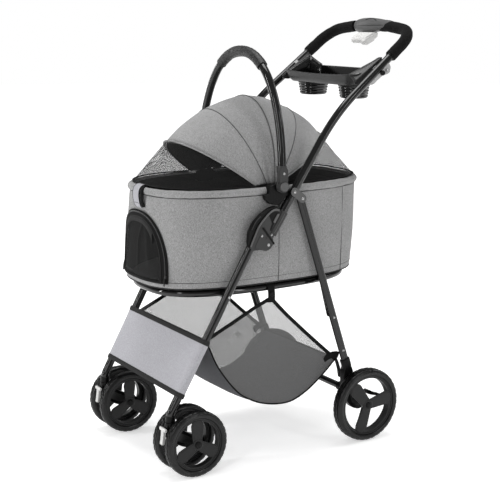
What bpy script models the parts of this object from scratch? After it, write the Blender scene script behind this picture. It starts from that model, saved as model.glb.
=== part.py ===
"""Pet stroller: folding tube frame, swivel front wheels, lift-off fabric carrier with a canopy.

Metres, +Z up, the stroller faces -Y and +X is its own left. The side drawing's y is measured
from a datum near the middle of the wheelbase, and the empty "stroller" moves the whole model by
DATUM_Y, so that the origin lies on the floor under the middle of the overall box.
Pieces in pairs are made by loops over SIDES: +1 is left, -1 is right.
"""
import math

import bmesh
import bpy
from mathutils import Matrix, Vector

# ---------------------------------------------------------------- driving dimensions
DATUM_Y = 0.0345
GAP = 0.0003                       # running gap between faces that touch on the real thing
SIDES = (("left", 1), ("right", -1))

TUBE_R = 0.0095                    # 19 mm round frame tube
CROSS_R = 0.0080                   # 16 mm cross tubes
FOLD_PIVOT = (-0.126, 0.507)       # (y, z) of the joints in the side view
REAR_PIVOT = (-0.032, 0.604)
RING_FRONT_PIVOT = (-0.223, 0.396)
RING_REAR_PIVOT = (0.043, 0.401)
LINK_PIVOT = (0.065, 0.317)
HUB = (-0.085, 0.635)              # axis of the carry handle and of the canopy bows

LEG_TOP = (-0.143, 0.540)          # front leg, slanted part, then the upright stem
LEG_KNEE = (-0.367, 0.147)
STEM_BOTTOM_Z = 0.128
LEG_X_TOP = 0.182
CASTER_X = 0.171

HANDLE_FOOT = (-0.1306, 0.5002)    # upper tube: foot, bend, grip corner, middle of the grip bar
HANDLE_BEND = (0.064, 0.788)
HANDLE_CORNER = (0.300, 0.973)
HANDLE_BAR = (0.306, 0.985)
HANDLE_FOOT_X = 0.182
HANDLE_BEND_X = 0.1800
HANDLE_CORNER_X = 0.166
BAR_STRAIGHT = 0.060
COVER_HALF = 0.066                 # pod in the middle of the grip bar
FOAM_END = 0.236                   # along the tube from the middle of the bar
FOAM_R = 0.0140
FOAM_BORE_R = 0.0104
BUTTON_HALF_X = 0.028              # release button under the pod, and its side-view outline
BUTTON_OUTLINE = ((0.301, 0.9695), (0.284, 0.9695), (0.262, 0.958), (0.259, 0.951), (0.262, 0.944),
                  (0.268, 0.942), (0.301, 0.957))

CLAMP_AT = (0.1858, 0.8835)        # middle of the tray clamps on the slanted upper tube
CLAMP_HALF = 0.026
TRAY_BOX = (0.1500, 0.135, 0.232, 0.8480, 0.8840)     # half width, front y, rear y, bottom z, rim z
CUP_CENTRES = (0.085, 0.187)
CUP_BOTTOM_Z = 0.816
CUP_RADII = (0.0335, 0.0385)
GUSSET_X = (0.1912, 0.1937)
GUSSET_FRONT = (-0.0535, 0.6205)
GUSSET_R = 0.0120

REAR_LEG_X = 0.1815
REAR_LEG_HALF = (0.0055, 0.0095)   # half thickness in x and half width in the side view
REAR_KNEE = (0.107, 0.185)
REAR_FOOT = (0.119, 0.100)
REAR_CROSS = (0.104, 0.128)
FOOT_X = (0.1722, 0.1895)          # moulded foot that carries the rear axle
FOOT_OUTLINE = ((0.0950, 0.187), (0.1195, 0.187), (0.1310, 0.128), (0.1600, 0.104), (0.1630, 0.088),
                (0.1560, 0.074), (0.1400, 0.070), (0.1200, 0.078), (0.1040, 0.098), (0.0940, 0.130))
BRAKE_X = (0.1735, 0.1885)
BRAKE_OUTLINE = ((0.1665, 0.114), (0.1665, 0.104), (0.1850, 0.0975), (0.2060, 0.0930), (0.2085, 0.0975),
                 (0.1880, 0.1035), (0.1740, 0.1130))
LINK_X = (0.1662, 0.1694)
LINK_R = 0.0085

FRONT_WHEEL_R = 0.076
FRONT_AXLE = (-0.318, 0.076)
FRONT_TWIN = 0.0275                # half the distance between twin wheels
REAR_WHEEL_R = 0.089
REAR_AXLE = (0.145, 0.089)
REAR_WHEEL_X = 0.210
FRONT_TYRE_HALF = 0.0120
REAR_TYRE_HALF = 0.0145
TYRE_DEPTH = 0.0150
AXLE_R = 0.0040
AXLE_BORE_R = 0.0046
CASTER_HALF = 0.0090
CASTER_OUTLINE = ((-0.3800, 0.1277), (-0.3540, 0.1277), (-0.3530, 0.1120), (-0.3240, 0.0960),
                  (-0.3060, 0.0860), (-0.3030, 0.0740), (-0.3100, 0.0640), (-0.3240, 0.0600),
                  (-0.3440, 0.0680), (-0.3700, 0.0840), (-0.3805, 0.0980))
STEM_PIN_R = 0.0047
LOCK_HALF = 0.0065
LOCK_OUTLINE = ((-0.3812, 0.1180), (-0.3812, 0.1060), (-0.3830, 0.0860), (-0.3860, 0.0780), (-0.3925, 0.0780),
                (-0.3900, 0.0900), (-0.3880, 0.1060), (-0.3880, 0.1180))

BRACKET_X = (0.1919, 0.1959)       # fold bracket on the outer side of the front leg
BRACKET_OUTLINE = ((-0.167, 0.503), (-0.160, 0.494), (-0.146, 0.489), (-0.129, 0.490), (-0.117, 0.498),
                   (-0.112, 0.512), (-0.094, 0.548), (-0.089, 0.572), (-0.096, 0.584), (-0.110, 0.588),
                   (-0.122, 0.580), (-0.140, 0.553), (-0.156, 0.526))
PIVOT_BORE_R = 0.0046
LATCH_CENTRE = (-0.1055, 0.553)    # in the bracket's window, on the upper tube's line
LATCH_HALF = (0.0105, 0.0050)      # along and across the upper tube
WINDOW_HALF = (0.0170, 0.0056)

PANEL_Z = (0.183, 0.303)           # fabric panel round the front legs
PANEL_RADII = (0.0115, 0.0099)
CROSSBAR_Z = 0.240

BASKET_TOP = ((-0.268, 0.293), (-0.205, 0.329), (-0.150, 0.358), (-0.096, 0.379), (-0.050, 0.331),
              (0.000, 0.284), (0.045, 0.241), (0.086, 0.205))     # (y, z) along each upper edge
BASKET_FLOOR = (0.244, 0.174, 0.124, 0.104, 0.099, 0.111, 0.138, 0.178)
BASKET_HALF = (0.161, 0.160, 0.158, 0.157, 0.156, 0.157, 0.159, 0.160)
BASKET_SKIN = 0.0020

CARRIER_N = 2.85                   # superellipse exponent of the carrier's plan
CARRIER_BOTTOM = (0.1600, 0.2715, -0.081, 0.4085)     # half width, half length, centre y, z
CARRIER_LOW = (0.1660, 0.2775, -0.081, 0.4200)
CARRIER_TOP = (0.1660, 0.2765, -0.0695, 0.6155)
CARRIER_WALL = 0.0030
RIM_ROLL = (0.1625, 0.2690, -0.069, 0.6247)
RIM_ROLL_R = 0.0085
RING_PLAN = (0.1495, 0.2530, -0.083, 0.3985)
RING_R = 0.0085

CANOPY_SKIN = 0.0015
CANOPY_BOWS = (                    # fan angle, reach, pivot y, half width, power of the arch
    (0.5, 0.2065, -0.131, 0.158, 2.57),               # front edge, along the rim
    (36.0, 0.1600, -0.131, 0.151, 2.0),               # front bow
    (67.8, 0.1770, -0.099, 0.147, 2.0),
    (94.8, 0.1930, -0.085, 0.156, 2.0),
    (127.4, 0.2030, -0.085, 0.157, 2.0),
    (155.0, 0.2320, -0.085, 0.157, 2.0),              # rear bow
    (179.5, 0.2830, -0.085, 0.158, 3.15))             # rear edge, along the rim
CANOPY_INNER_REACH = 0.024         # open circle round the hubs
BOW_R = 0.0022
BOW_INSET = 0.0055

DOOR_HALF = 0.106
DOOR_Z = (0.4235, 0.580)
DOOR_OFFSETS = (0.0018, 0.0046)     # inner and outer face, out from the carrier's wall
DOOR_N = 2.6                       # superellipse exponent of the door's arched outline
DOORWAY_HALF = 0.088
DOORWAY_Z = (0.4365, 0.564)

BAIL_HALF = 0.186                  # carry handle arch, centre line
BAIL_HEIGHT = 0.290
BAIL_N = 2.3
BAIL_FOOT_Z = 0.682
BAIL_DISC_X = (0.1850, 0.1968)
BAIL_DISC_R = 0.0165
BAIL_BUTTON_X = (0.1905, 0.2010)
BAIL_BUTTON_R = 0.0120
GRIP_HALF = 0.094
GRIP_RADII = (0.0126, 0.0104)
SIDE_HUB_X = (0.1714, 0.1832)
SIDE_HUB_OUTLINE = ((-0.125, 0.600), (-0.117, 0.592), (-0.094, 0.592), (-0.064, 0.638), (-0.062, 0.654),
                    (-0.070, 0.662), (-0.118, 0.662), (-0.125, 0.654))
STRAP_LINE = ((-0.3530, 0.6000), (-0.3540, 0.6250), (-0.3532, 0.6500))


def leg_x(z):
    """Front legs stand a little closer together at the floor than at the fold brackets."""
    return CASTER_X + (LEG_X_TOP - CASTER_X) * (z - LEG_KNEE[1]) / (LEG_TOP[1] - LEG_KNEE[1])


def leg_y(z):
    """Side-view line of the front leg's slanted part."""
    return LEG_KNEE[0] + (LEG_TOP[0] - LEG_KNEE[0]) * (z - LEG_KNEE[1]) / (LEG_TOP[1] - LEG_KNEE[1])


# ---------------------------------------------------------------- scene, materials, objects
def clear_scene():
    for obj in list(bpy.data.objects):
        bpy.data.objects.remove(obj, do_unlink=True)


def material(name, colour, roughness, metallic=0.0):
    """One Principled material; a second call with the same name returns the first one."""
    found = bpy.data.materials.get(name)
    if found:
        return found
    made = bpy.data.materials.new(name)
    made.use_nodes = True
    shader = made.node_tree.nodes["Principled BSDF"]
    shader.inputs["Base Color"].default_value = (*colour, 1.0)
    shader.inputs["Roughness"].default_value = roughness
    shader.inputs["Metallic"].default_value = metallic
    made.diffuse_color = (*colour, 1.0)
    return made


def steel():
    return material("gloss_black_tube", (0.012, 0.012, 0.013), 0.18, 0.3)


def satin():
    return material("satin_black_tube", (0.030, 0.031, 0.033), 0.42, 0.2)


def plastic():
    return material("dark_plastic", (0.045, 0.046, 0.048), 0.42)


def light_plastic():
    return material("light_plastic", (0.42, 0.42, 0.41), 0.45)


def grey_fabric():
    return material("grey_fabric", (0.29, 0.29, 0.285), 0.95)


def black_mesh():
    return material("black_mesh", (0.02, 0.02, 0.021), 0.9)


ROOT = []


def place(name, bm, look, smooth_angle=35.0):
    """Turns a bmesh into a named object under the root empty, with outward faces."""
    bmesh.ops.recalc_face_normals(bm, faces=bm.faces)
    mesh = bpy.data.meshes.new(name)
    bm.to_mesh(mesh)
    bm.free()
    mesh.shade_smooth()
    mesh.set_sharp_from_angle(angle=math.radians(smooth_angle))
    mesh.materials.append(look)
    obj = bpy.data.objects.new(name, mesh)
    bpy.context.scene.collection.objects.link(obj)
    obj.parent = ROOT[0]
    return obj


def helper(name, bm):
    """A guide shape for a Boolean: never part of the model."""
    obj = place(name, bm, plastic())
    obj.hide_render = True
    obj.display_type = "WIRE"
    return obj


def boolean(obj, other, operation):
    modifier = obj.modifiers.new(operation.lower() + "_" + other.name, "BOOLEAN")
    modifier.operation = operation
    modifier.solver = "EXACT"
    modifier.object = other


def cut(obj, bm):
    boolean(obj, helper("cutter_" + obj.name + "_" + str(len(obj.modifiers)), bm), "DIFFERENCE")


def unite(obj, bm):
    boolean(obj, helper("added_" + obj.name + "_" + str(len(obj.modifiers)), bm), "UNION")


# ---------------------------------------------------------------- shapes
def circle(radius, sides):
    step = 2 * math.pi / sides
    return [(radius * math.cos(i * step), radius * math.sin(i * step)) for i in range(sides)]


def oval(half_u, half_v, sides=12, power=2.6):
    points = []
    for i in range(sides):
        angle = 2 * math.pi * i / sides
        c, s = math.cos(angle), math.sin(angle)
        points.append((half_u * math.copysign(abs(c) ** (2 / power), c),
                       half_v * math.copysign(abs(s) ** (2 / power), s)))
    return points


def plan_loop(half_x, half_y, centre_y, z, count=40, power=CARRIER_N):
    """Superellipse in plan, which is the carrier's and the ring's outline."""
    return [Vector((x, centre_y + y, z)) for x, y in oval(half_x, half_y, count, power)]


def rounded(points, radii, steps=6):
    """Polyline whose inner corners are arcs; radii holds one radius for each inner corner."""
    points = [Vector(p) for p in points]
    path = [points[0]]
    for before, corner, after, radius in zip(points, points[1:], points[2:], radii):
        back = (before - corner).normalized()
        ahead = (after - corner).normalized()
        half_turn = (math.pi - back.angle(ahead)) / 2
        reach = radius * math.tan(half_turn)
        centre = corner + (back + ahead).normalized() * (radius / math.cos(half_turn))
        start = corner + back * reach - centre
        axis = start.cross(corner + ahead * reach - centre).normalized()
        for i in range(steps + 1):
            turn = Matrix.Rotation(2 * half_turn * i / steps, 3, axis)
            path.append(centre + turn @ start)
    path.append(points[-1])
    return path


def along(path, start, end):
    """Part of a polyline between two distances from its first point."""
    part = []
    travelled = 0.0
    for a, b in zip(path, path[1:]):
        length = (b - a).length
        for mark in (start, end):
            if travelled <= mark < travelled + length:
                part.append((mark, a.lerp(b, (mark - travelled) / length)))
        travelled += length
        if start + 0.001 < travelled < end - 0.001:
            part.append((travelled, b))
    return [point for _, point in sorted(part, key=lambda item: item[0])]


def section_rings(bm, path, section, closed):
    """Sections carried along a path without twist; returns the rings of vertices."""
    rings = []
    count = len(path)
    side = None
    for i, point in enumerate(path):
        if closed:
            tangent = (path[(i + 1) % count] - path[i - 1]).normalized()
        else:
            tangent = (path[min(i + 1, count - 1)] - path[max(i - 1, 0)]).normalized()
        if side is None:
            side = Vector((1, 0, 0)) if abs(tangent.x) < 0.9 else Vector((0, 1, 0))
        side = (side - tangent * side.dot(tangent)).normalized()
        up = tangent.cross(side)
        stretch = 1.0
        if 0 < i < count - 1 and not closed:
            half = (path[i + 1] - point).angle(point - path[i - 1]) / 2
            stretch = 1 / math.cos(half)
        rings.append([bm.verts.new(point + (side * u + up * v) * stretch) for u, v in section])
    return rings


def skin(bm, rings, closed=False):
    pairs = list(zip(rings, rings[1:]))
    if closed:
        pairs.append((rings[-1], rings[0]))
    for ring, following in pairs:
        for i in range(len(ring)):
            j = (i + 1) % len(ring)
            bm.faces.new((ring[i], ring[j], following[j], following[i]))


def sweep(path, section, closed=False):
    """Solid bar of the given section along a path."""
    bm = bmesh.new()
    rings = section_rings(bm, path, section, closed)
    skin(bm, rings, closed)
    if not closed:
        bm.faces.new(rings[0])
        bm.faces.new(rings[-1])
    return bm


def sleeve(path, outer, inner):
    """Tube with a wall: outer and inner sections have the same number of points."""
    bm = bmesh.new()
    outside = section_rings(bm, path, outer, False)
    inside = section_rings(bm, path, inner, False)
    skin(bm, outside + inside[::-1], closed=True)
    return bm


def loft(loops, closed=False):
    """Solid through loops of points; closed joins the last loop to the first."""
    bm = bmesh.new()
    rings = [[bm.verts.new(point) for point in loop] for loop in loops]
    skin(bm, rings, closed)
    if not closed:
        bm.faces.new(rings[0])
        bm.faces.new(rings[-1])
    return bm


def turned(profile, centre, sides, side=1):
    """Closed profile of (x, radius) turned about a line along X through centre (y, z).

    Radii are measured to the flats, and one flat lies at the bottom.
    """
    bm = bmesh.new()
    stretch = 1 / math.cos(math.pi / sides)
    rings = []
    for i in range(sides):
        angle = 2 * math.pi * (i + 0.5) / sides
        rings.append([bm.verts.new((side * x, centre[0] + r * stretch * math.cos(angle),
                                    centre[1] + r * stretch * math.sin(angle))) for x, r in profile])
    skin(bm, rings, closed=True)
    return bm


def capped_turned(profile, centre, sides, side):
    """Solid of revolution along X; discs close the profile's two ends."""
    bm = bmesh.new()
    stretch = 1 / math.cos(math.pi / sides)
    rings = []
    for x, r in profile:
        ring = []
        for i in range(sides):
            angle = 2 * math.pi * (i + 0.5) / sides
            ring.append(bm.verts.new((side * x, centre[0] + r * stretch * math.cos(angle),
                                      centre[1] + r * stretch * math.sin(angle))))
        rings.append(ring)
    skin(bm, rings)
    bm.faces.new(rings[0])
    bm.faces.new(rings[-1])
    return bm


def rod(start, end, radius, sides=12):
    """Round bar between two points."""
    start, end = Vector(start), Vector(end)
    bm = bmesh.new()
    turn = (end - start).to_track_quat("Z", "Y").to_matrix().to_4x4()
    bmesh.ops.create_cone(bm, cap_ends=True, segments=sides, radius1=radius, radius2=radius,
                          depth=(end - start).length, matrix=Matrix.Translation((start + end) / 2) @ turn)
    return bm


def across(centre, x0, x1, radius, side, sides=12):
    """Round bar along X at a side-view point."""
    return rod((side * x0, *centre), (side * x1, *centre), radius, sides)


def plate(outline, x0, x1, side=1):
    """Side-view outline of (y, z) points, extruded along X."""
    return loft([[Vector((side * x, y, z)) for y, z in outline] for x in (x0, x1)])


def block(low, high):
    return plate([(low[1], low[2]), (high[1], low[2]), (high[1], high[2]), (low[1], high[2])], low[0], high[0])


def capsule(a, b, radius_a, radius_b, steps=6):
    """Outline of two discs and the straight flanks between them."""
    angle = math.atan2(b[1] - a[1], b[0] - a[0])
    lean = math.acos((radius_a - radius_b) / math.dist(a, b))
    outline = []
    for centre, radius, start, end in ((a, radius_a, angle + lean, angle + 2 * math.pi - lean),
                                       (b, radius_b, angle - lean, angle + lean)):
        for i in range(steps + 1):
            turn = start + (end - start) * i / steps
            outline.append((centre[0] + radius * math.cos(turn), centre[1] + radius * math.sin(turn)))
    return outline


# ---------------------------------------------------------------- front frame
def front_leg(name, side):
    knee_x = side * leg_x(LEG_KNEE[1])
    path = rounded([(side * leg_x(LEG_TOP[1]), *LEG_TOP), (knee_x, *LEG_KNEE),
                    (knee_x, LEG_KNEE[0], STEM_BOTTOM_Z)], [0.030], 5)
    leg = place("front_leg_" + name, sweep(path, circle(TUBE_R, 12)), steel())
    cut(leg, rod((knee_x, LEG_KNEE[0], 0.120), (knee_x, LEG_KNEE[0], 0.1385), 0.0052))


def base_ring():
    path = plan_loop(*RING_PLAN, count=36)
    ring = place("base_ring", sweep(path, circle(RING_R, 10), closed=True), steel())
    for _, side in SIDES:
        unite(ring, across(RING_FRONT_PIVOT, 0.146, leg_x(RING_FRONT_PIVOT[1]) - TUBE_R - GAP, 0.0055, side))
        unite(ring, across(RING_REAR_PIVOT, 0.146, LINK_X[0] - GAP, 0.0055, side))


def front_crossbar():
    reach = leg_x(CROSSBAR_Z) - TUBE_R - GAP
    y = leg_y(CROSSBAR_Z)
    place("front_crossbar", rod((-reach, y, CROSSBAR_Z), (reach, y, CROSSBAR_Z), CROSS_R), steel())


def front_panel():
    """Fabric sleeve stretched round both front legs."""
    low, high = PANEL_Z
    outer, inner = PANEL_RADII
    run = Vector((0, LEG_TOP[0] - LEG_KNEE[0], LEG_TOP[1] - LEG_KNEE[1])).normalized()
    ahead = run.cross(Vector((1, 0, 0)))
    loops = []
    for z, radius in ((high, outer), (low, outer), (low, inner), (high, inner)):
        loop = []
        for side in (1, -1):
            for i in range(9):
                angle = side * math.pi / 2 - side * math.pi * i / 8
                out = Vector((side * math.cos(angle), 0, 0)) + ahead * math.sin(angle)
                loop.append(Vector((side * leg_x(z), leg_y(z), z)) + out * radius)
        loops.append(loop)
    place("front_panel", loft(loops, closed=True), material("panel_fabric", (0.44, 0.44, 0.47), 0.9))


TUBE_LEAN = Vector((0, HANDLE_BEND[0] - HANDLE_FOOT[0], HANDLE_BEND[1] - HANDLE_FOOT[1])).normalized()


def slanted_box(centre, half_long, half_wide, x0, x1, side):
    """Box that runs along the upper tube's side-view line."""
    wide = Vector((0, TUBE_LEAN.z, -TUBE_LEAN.y))
    middle = Vector((0, *centre))
    corners = [middle + TUBE_LEAN * u * half_long + wide * v * half_wide
               for u, v in ((-1, -1), (1, -1), (1, 1), (-1, 1))]
    return plate([(corner.y, corner.z) for corner in corners], x0, x1, side)


def fold_bracket(name, side):
    bracket = place("fold_bracket_" + name, plate(BRACKET_OUTLINE, *BRACKET_X, side), plastic())
    cut(bracket, across(FOLD_PIVOT, 0.185, 0.205, PIVOT_BORE_R, side))
    window = Vector((0, *LATCH_CENTRE)) + TUBE_LEAN * 0.003
    cut(bracket, slanted_box((window.y, window.z), *WINDOW_HALF, 0.185, 0.205, side))
    profile = ((0.1728, 0.0040), (0.1962, 0.0040), (0.1962, 0.0062), (0.1984, 0.0050))
    place("fold_pin_" + name, capped_turned(profile, FOLD_PIVOT, 16, side),
          material("bright_rivet", (0.75, 0.75, 0.76), 0.2, 1.0))


def fold_latch(name, side):
    latch = slanted_box(LATCH_CENTRE, *LATCH_HALF, BRACKET_X[0] + GAP, 0.1985, side)
    place("fold_latch_" + name, latch, light_plastic())


# ---------------------------------------------------------------- storage basket

def basket_section(top, floor, half, inset):
    """U-shaped line from the left top edge down round the floor to the right top edge."""
    points = []
    depth = top[1] - floor
    for i in range(15):
        angle = math.pi * i / 14
        c, s = math.cos(angle), math.sin(angle)
        x = (half - inset) * math.copysign(abs(c) ** 0.50, c)
        points.append(Vector((x, top[0], top[1] - (depth - inset) * abs(s) ** 0.55)))
    return points


def storage_basket():
    loops = []
    for top, floor, half in zip(BASKET_TOP, BASKET_FLOOR, BASKET_HALF):
        loops.append(basket_section(top, floor, half, 0.0)
                     + basket_section(top, floor, half, BASKET_SKIN)[::-1])
    place("storage_basket", loft(loops), material("basket_fabric", (0.06, 0.06, 0.062), 0.9))


# ---------------------------------------------------------------- handle frame
def handle_half(side):
    """Centre line from the middle of the grip bar down to the tube's foot on one side."""
    return rounded([(0, *HANDLE_BAR), (side * BAR_STRAIGHT, *HANDLE_BAR),
                    (side * HANDLE_CORNER_X, *HANDLE_CORNER), (side * HANDLE_BEND_X, *HANDLE_BEND),
                    (side * HANDLE_FOOT_X, *HANDLE_FOOT)], [0.060, 0.055, 0.080], 5)


def handle_tube():
    left = handle_half(1)
    right = handle_half(-1)
    tube = place("handle_tube", sweep(left[::-1] + right[1:], circle(TUBE_R, 12)), steel())
    for _, side in SIDES:
        cut(tube, across(FOLD_PIVOT, 0.165, 0.200, PIVOT_BORE_R, side))


def foam_grip(name, side):
    path = along(handle_half(side), COVER_HALF + 0.003, FOAM_END)
    place("foam_grip_" + name, sleeve(path, circle(FOAM_R, 10), circle(FOAM_BORE_R, 10)),
          material("foam", (0.012, 0.012, 0.012), 0.95))


def grip_cover():
    """Pod on the grip bar, wider inside at its ends, where the bar starts to bend."""
    profile = ((-COVER_HALF, 0.0150), (-0.040, 0.0176), (0.0, 0.0190), (0.040, 0.0176), (COVER_HALF, 0.0150),
               (COVER_HALF, 0.0128), (0.050, 0.0098), (-0.050, 0.0098), (-COVER_HALF, 0.0128))
    cover = place("grip_cover", turned(profile, HANDLE_BAR, 20), plastic())
    room = 0.0006
    cut(cover, block((-BUTTON_HALF_X - room, 0.2834, 0.9500), (BUTTON_HALF_X + room, 0.3016, 0.9733)))
    button = place("release_button", plate(BUTTON_OUTLINE, -BUTTON_HALF_X, BUTTON_HALF_X), light_plastic())
    bevel = button.modifiers.new("bevel", "BEVEL")
    bevel.width = 0.0015
    bevel.segments = 2


def handle_upper_line():
    return (Vector((0, *HANDLE_CORNER)) - Vector((0, *HANDLE_BEND))).normalized()


def clamp_x(z):
    blend = (z - HANDLE_BEND[1]) / (HANDLE_CORNER[1] - HANDLE_BEND[1])
    return HANDLE_BEND_X + (HANDLE_CORNER_X - HANDLE_BEND_X) * blend


def tray_clamp(name, side):
    """C-shaped clamp shell on the tube, with a screw boss below."""
    run = handle_upper_line()
    ends = []
    for reach in (-CLAMP_HALF, CLAMP_HALF):
        middle = Vector((0, *CLAMP_AT)) + run * reach
        ends.append(Vector((side * clamp_x(middle.z), middle.y, middle.z)))
    clamp = place("tray_clamp_" + name, sleeve(ends, circle(0.0140, 12), circle(0.0100, 12)), light_plastic())
    below = Vector((0, run.z, -run.y))
    boss = (ends[0] + ends[1]) / 2 + below * 0.0175
    unite(clamp, rod(boss + Vector((side * -0.007, 0, 0)), boss + Vector((side * 0.009, 0, 0)), 0.0065))


def rounded_rect(half_x, y0, y1, z, radius, steps=4):
    """Loop of a rectangle with round corners in plan."""
    points = []
    for cx, cy, start in ((half_x - radius, y1 - radius, 0), (-half_x + radius, y1 - radius, 90),
                          (-half_x + radius, y0 + radius, 180), (half_x - radius, y0 + radius, 270)):
        for i in range(steps + 1):
            angle = math.radians(start + 90 * i / steps)
            points.append(Vector((cx + radius * math.cos(angle), cy + radius * math.sin(angle), z)))
    return points


def cone(centre, z0, z1, r0, r1, sides=16):
    bm = bmesh.new()
    matrix = Matrix.Translation((centre[0], centre[1], (z0 + z1) / 2))
    bmesh.ops.create_cone(bm, cap_ends=True, segments=sides, radius1=r0, radius2=r1, depth=z1 - z0,
                          matrix=matrix)
    return bm


def parent_tray():
    half, front, rear, bottom, rim = TRAY_BOX
    wall = 0.0025
    tray = place("parent_tray",
                 loft([rounded_rect(half - 0.026, front + 0.010, rear - 0.012, bottom, 0.018),
                       rounded_rect(half - 0.012, front + 0.003, rear - 0.004, bottom + 0.012, 0.022),
                       rounded_rect(half, front, rear, rim, 0.026)]), plastic())
    wing = ((front + 0.004, 0.8520), (0.158, 0.8500), (rear - 0.004, rim - 0.002), (0.2260, 0.9160),
            (0.2080, 0.9180), (0.150, 0.8730))
    for _, side in SIDES:
        unite(tray, plate(wing, half - 0.0035, half + 0.0040, side))
        unite(tray, cone((side * CUP_CENTRES[0], CUP_CENTRES[1]), CUP_BOTTOM_Z, bottom + 0.010, *CUP_RADII))
    cut(tray, loft([rounded_rect(half - 0.026 - wall, front + 0.010 + wall, rear - 0.012 - wall,
                                 bottom + wall, 0.016),
                    rounded_rect(half - 0.012 - wall, front + 0.003 + wall, rear - 0.004 - wall,
                                 bottom + 0.012 + wall, 0.020),
                    rounded_rect(half - wall - 0.001, front + wall, rear - wall, rim + 0.002, 0.024)]))
    for _, side in SIDES:
        cut(tray, cone((side * CUP_CENTRES[0], CUP_CENTRES[1]), CUP_BOTTOM_Z + wall, bottom + 0.012,
                       CUP_RADII[0] - wall, CUP_RADII[1] - wall + GAP))


def gusset(name, side):
    place("gusset_" + name, plate(capsule(GUSSET_FRONT, REAR_PIVOT, GUSSET_R, GUSSET_R), *GUSSET_X, side),
          plastic())


# ---------------------------------------------------------------- rear legs
def rear_leg_path(side, past_end=0.0):
    knee = Vector((side * REAR_LEG_X, *REAR_KNEE))
    foot = Vector((side * REAR_LEG_X, *REAR_FOOT))
    top = Vector((side * REAR_LEG_X, REAR_PIVOT[0] - 0.002, REAR_PIVOT[1] + 0.0070))
    return [top, knee, foot + (foot - knee).normalized() * past_end]


def rear_leg(name, side):
    place("rear_leg_" + name, sweep(rear_leg_path(side), oval(*REAR_LEG_HALF, sides=12)), satin())


def rear_crossbar():
    reach = FOOT_X[0] - GAP
    place("rear_crossbar", rod((-reach, *REAR_CROSS), (reach, *REAR_CROSS), CROSS_R), steel())


def wheel_bracket(name, side):
    """Moulded foot on the rear leg: a socket for the leg and the stub axle."""
    bracket = place("wheel_bracket_" + name, plate(FOOT_OUTLINE, *FOOT_X, side), plastic())
    unite(bracket, across(REAR_AXLE, 0.1800, 0.2268, AXLE_R, side))
    socket = oval(REAR_LEG_HALF[0] + 0.0005, REAR_LEG_HALF[1] + 0.0005, 12)
    cut(bracket, sweep(rear_leg_path(side, 0.001), socket))


def link(name, side):
    """Strap from the base ring to the rear leg; it stops short of the leg at its lower pivot."""
    place("ring_link_" + name, plate(capsule(RING_REAR_PIVOT, LINK_PIVOT, LINK_R, LINK_R), *LINK_X, side),
          satin())


def brake_pedal(name, side):
    place("brake_pedal_" + name, plate(BRAKE_OUTLINE, *BRAKE_X, side), light_plastic())


# ---------------------------------------------------------------- wheels
def wheel(name, centre_x, centre, radius, half_width):
    """Tyre, and a rim with a hub and three paddle spokes, both turning on the axle."""
    tyre_in = radius - TYRE_DEPTH
    tread = ((-half_width, tyre_in + 0.002), (-half_width, radius - 0.0065), (-half_width * 0.55, radius),
             (half_width * 0.55, radius), (half_width, radius - 0.0065), (half_width, tyre_in + 0.002),
             (half_width * 0.7, tyre_in), (-half_width * 0.7, tyre_in))
    place("tyre_" + name, turned([(centre_x + x, r) for x, r in tread], centre, 24),
          material("tyre_rubber", (0.015, 0.015, 0.016), 0.35))
    ring_half = half_width * 0.72
    ring = ((-ring_half, tyre_in - 0.008), (-ring_half, tyre_in - GAP), (ring_half, tyre_in - GAP),
            (ring_half, tyre_in - 0.008))
    rim = place("rim_" + name, turned([(centre_x + x, r) for x, r in ring], centre, 24), plastic())
    spokes = []
    for k in range(3):
        middle = math.radians(90 + 120 * k)
        for turn, reach in ((-60, 0.0165), (-36, 0.0185), (-15.5, tyre_in - 0.004), (15.5, tyre_in - 0.004),
                            (36, 0.0185)):
            angle = middle + math.radians(turn)
            spokes.append((centre[0] + reach * math.cos(angle), centre[1] + reach * math.sin(angle)))
    unite(rim, plate(spokes, centre_x - half_width * 0.5, centre_x + half_width * 0.5))
    cut(rim, rod((centre_x - 0.03, *centre), (centre_x + 0.03, *centre), AXLE_BORE_R, 16))


def caster(name, side):
    """Swivel fork between the twin wheels, with the stem pin above and the axle across."""
    x = side * CASTER_X
    reach = FRONT_TWIN + 0.0125
    body = place("caster_body_" + name, plate(CASTER_OUTLINE, x - CASTER_HALF, x + CASTER_HALF), plastic())
    unite(body, rod((x, LEG_KNEE[0], 0.110), (x, LEG_KNEE[0], 0.1378), STEM_PIN_R))
    unite(body, rod((x - reach, *FRONT_AXLE), (x + reach, *FRONT_AXLE), AXLE_R))
    place("swivel_lock_" + name, plate(LOCK_OUTLINE, x - LOCK_HALF, x + LOCK_HALF), light_plastic())
    for twin, offset in (("outer", side * FRONT_TWIN), ("inner", -side * FRONT_TWIN)):
        wheel("front_" + name + "_" + twin, x + offset, FRONT_AXLE, FRONT_WHEEL_R, FRONT_TYRE_HALF)


# ---------------------------------------------------------------- carrier
def carrier_level(z):
    """Plan of the carrier's outer wall at a height: half width, half length, centre y."""
    blend = (z - CARRIER_LOW[3]) / (CARRIER_TOP[3] - CARRIER_LOW[3])
    return [low + (high - low) * blend for low, high in zip(CARRIER_LOW[:3], CARRIER_TOP[:3])]


def wall_loop(z, inset, count=44):
    half_x, half_y, centre_y = carrier_level(z)
    return plan_loop(half_x - inset, half_y - inset, centre_y, z, count)


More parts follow.
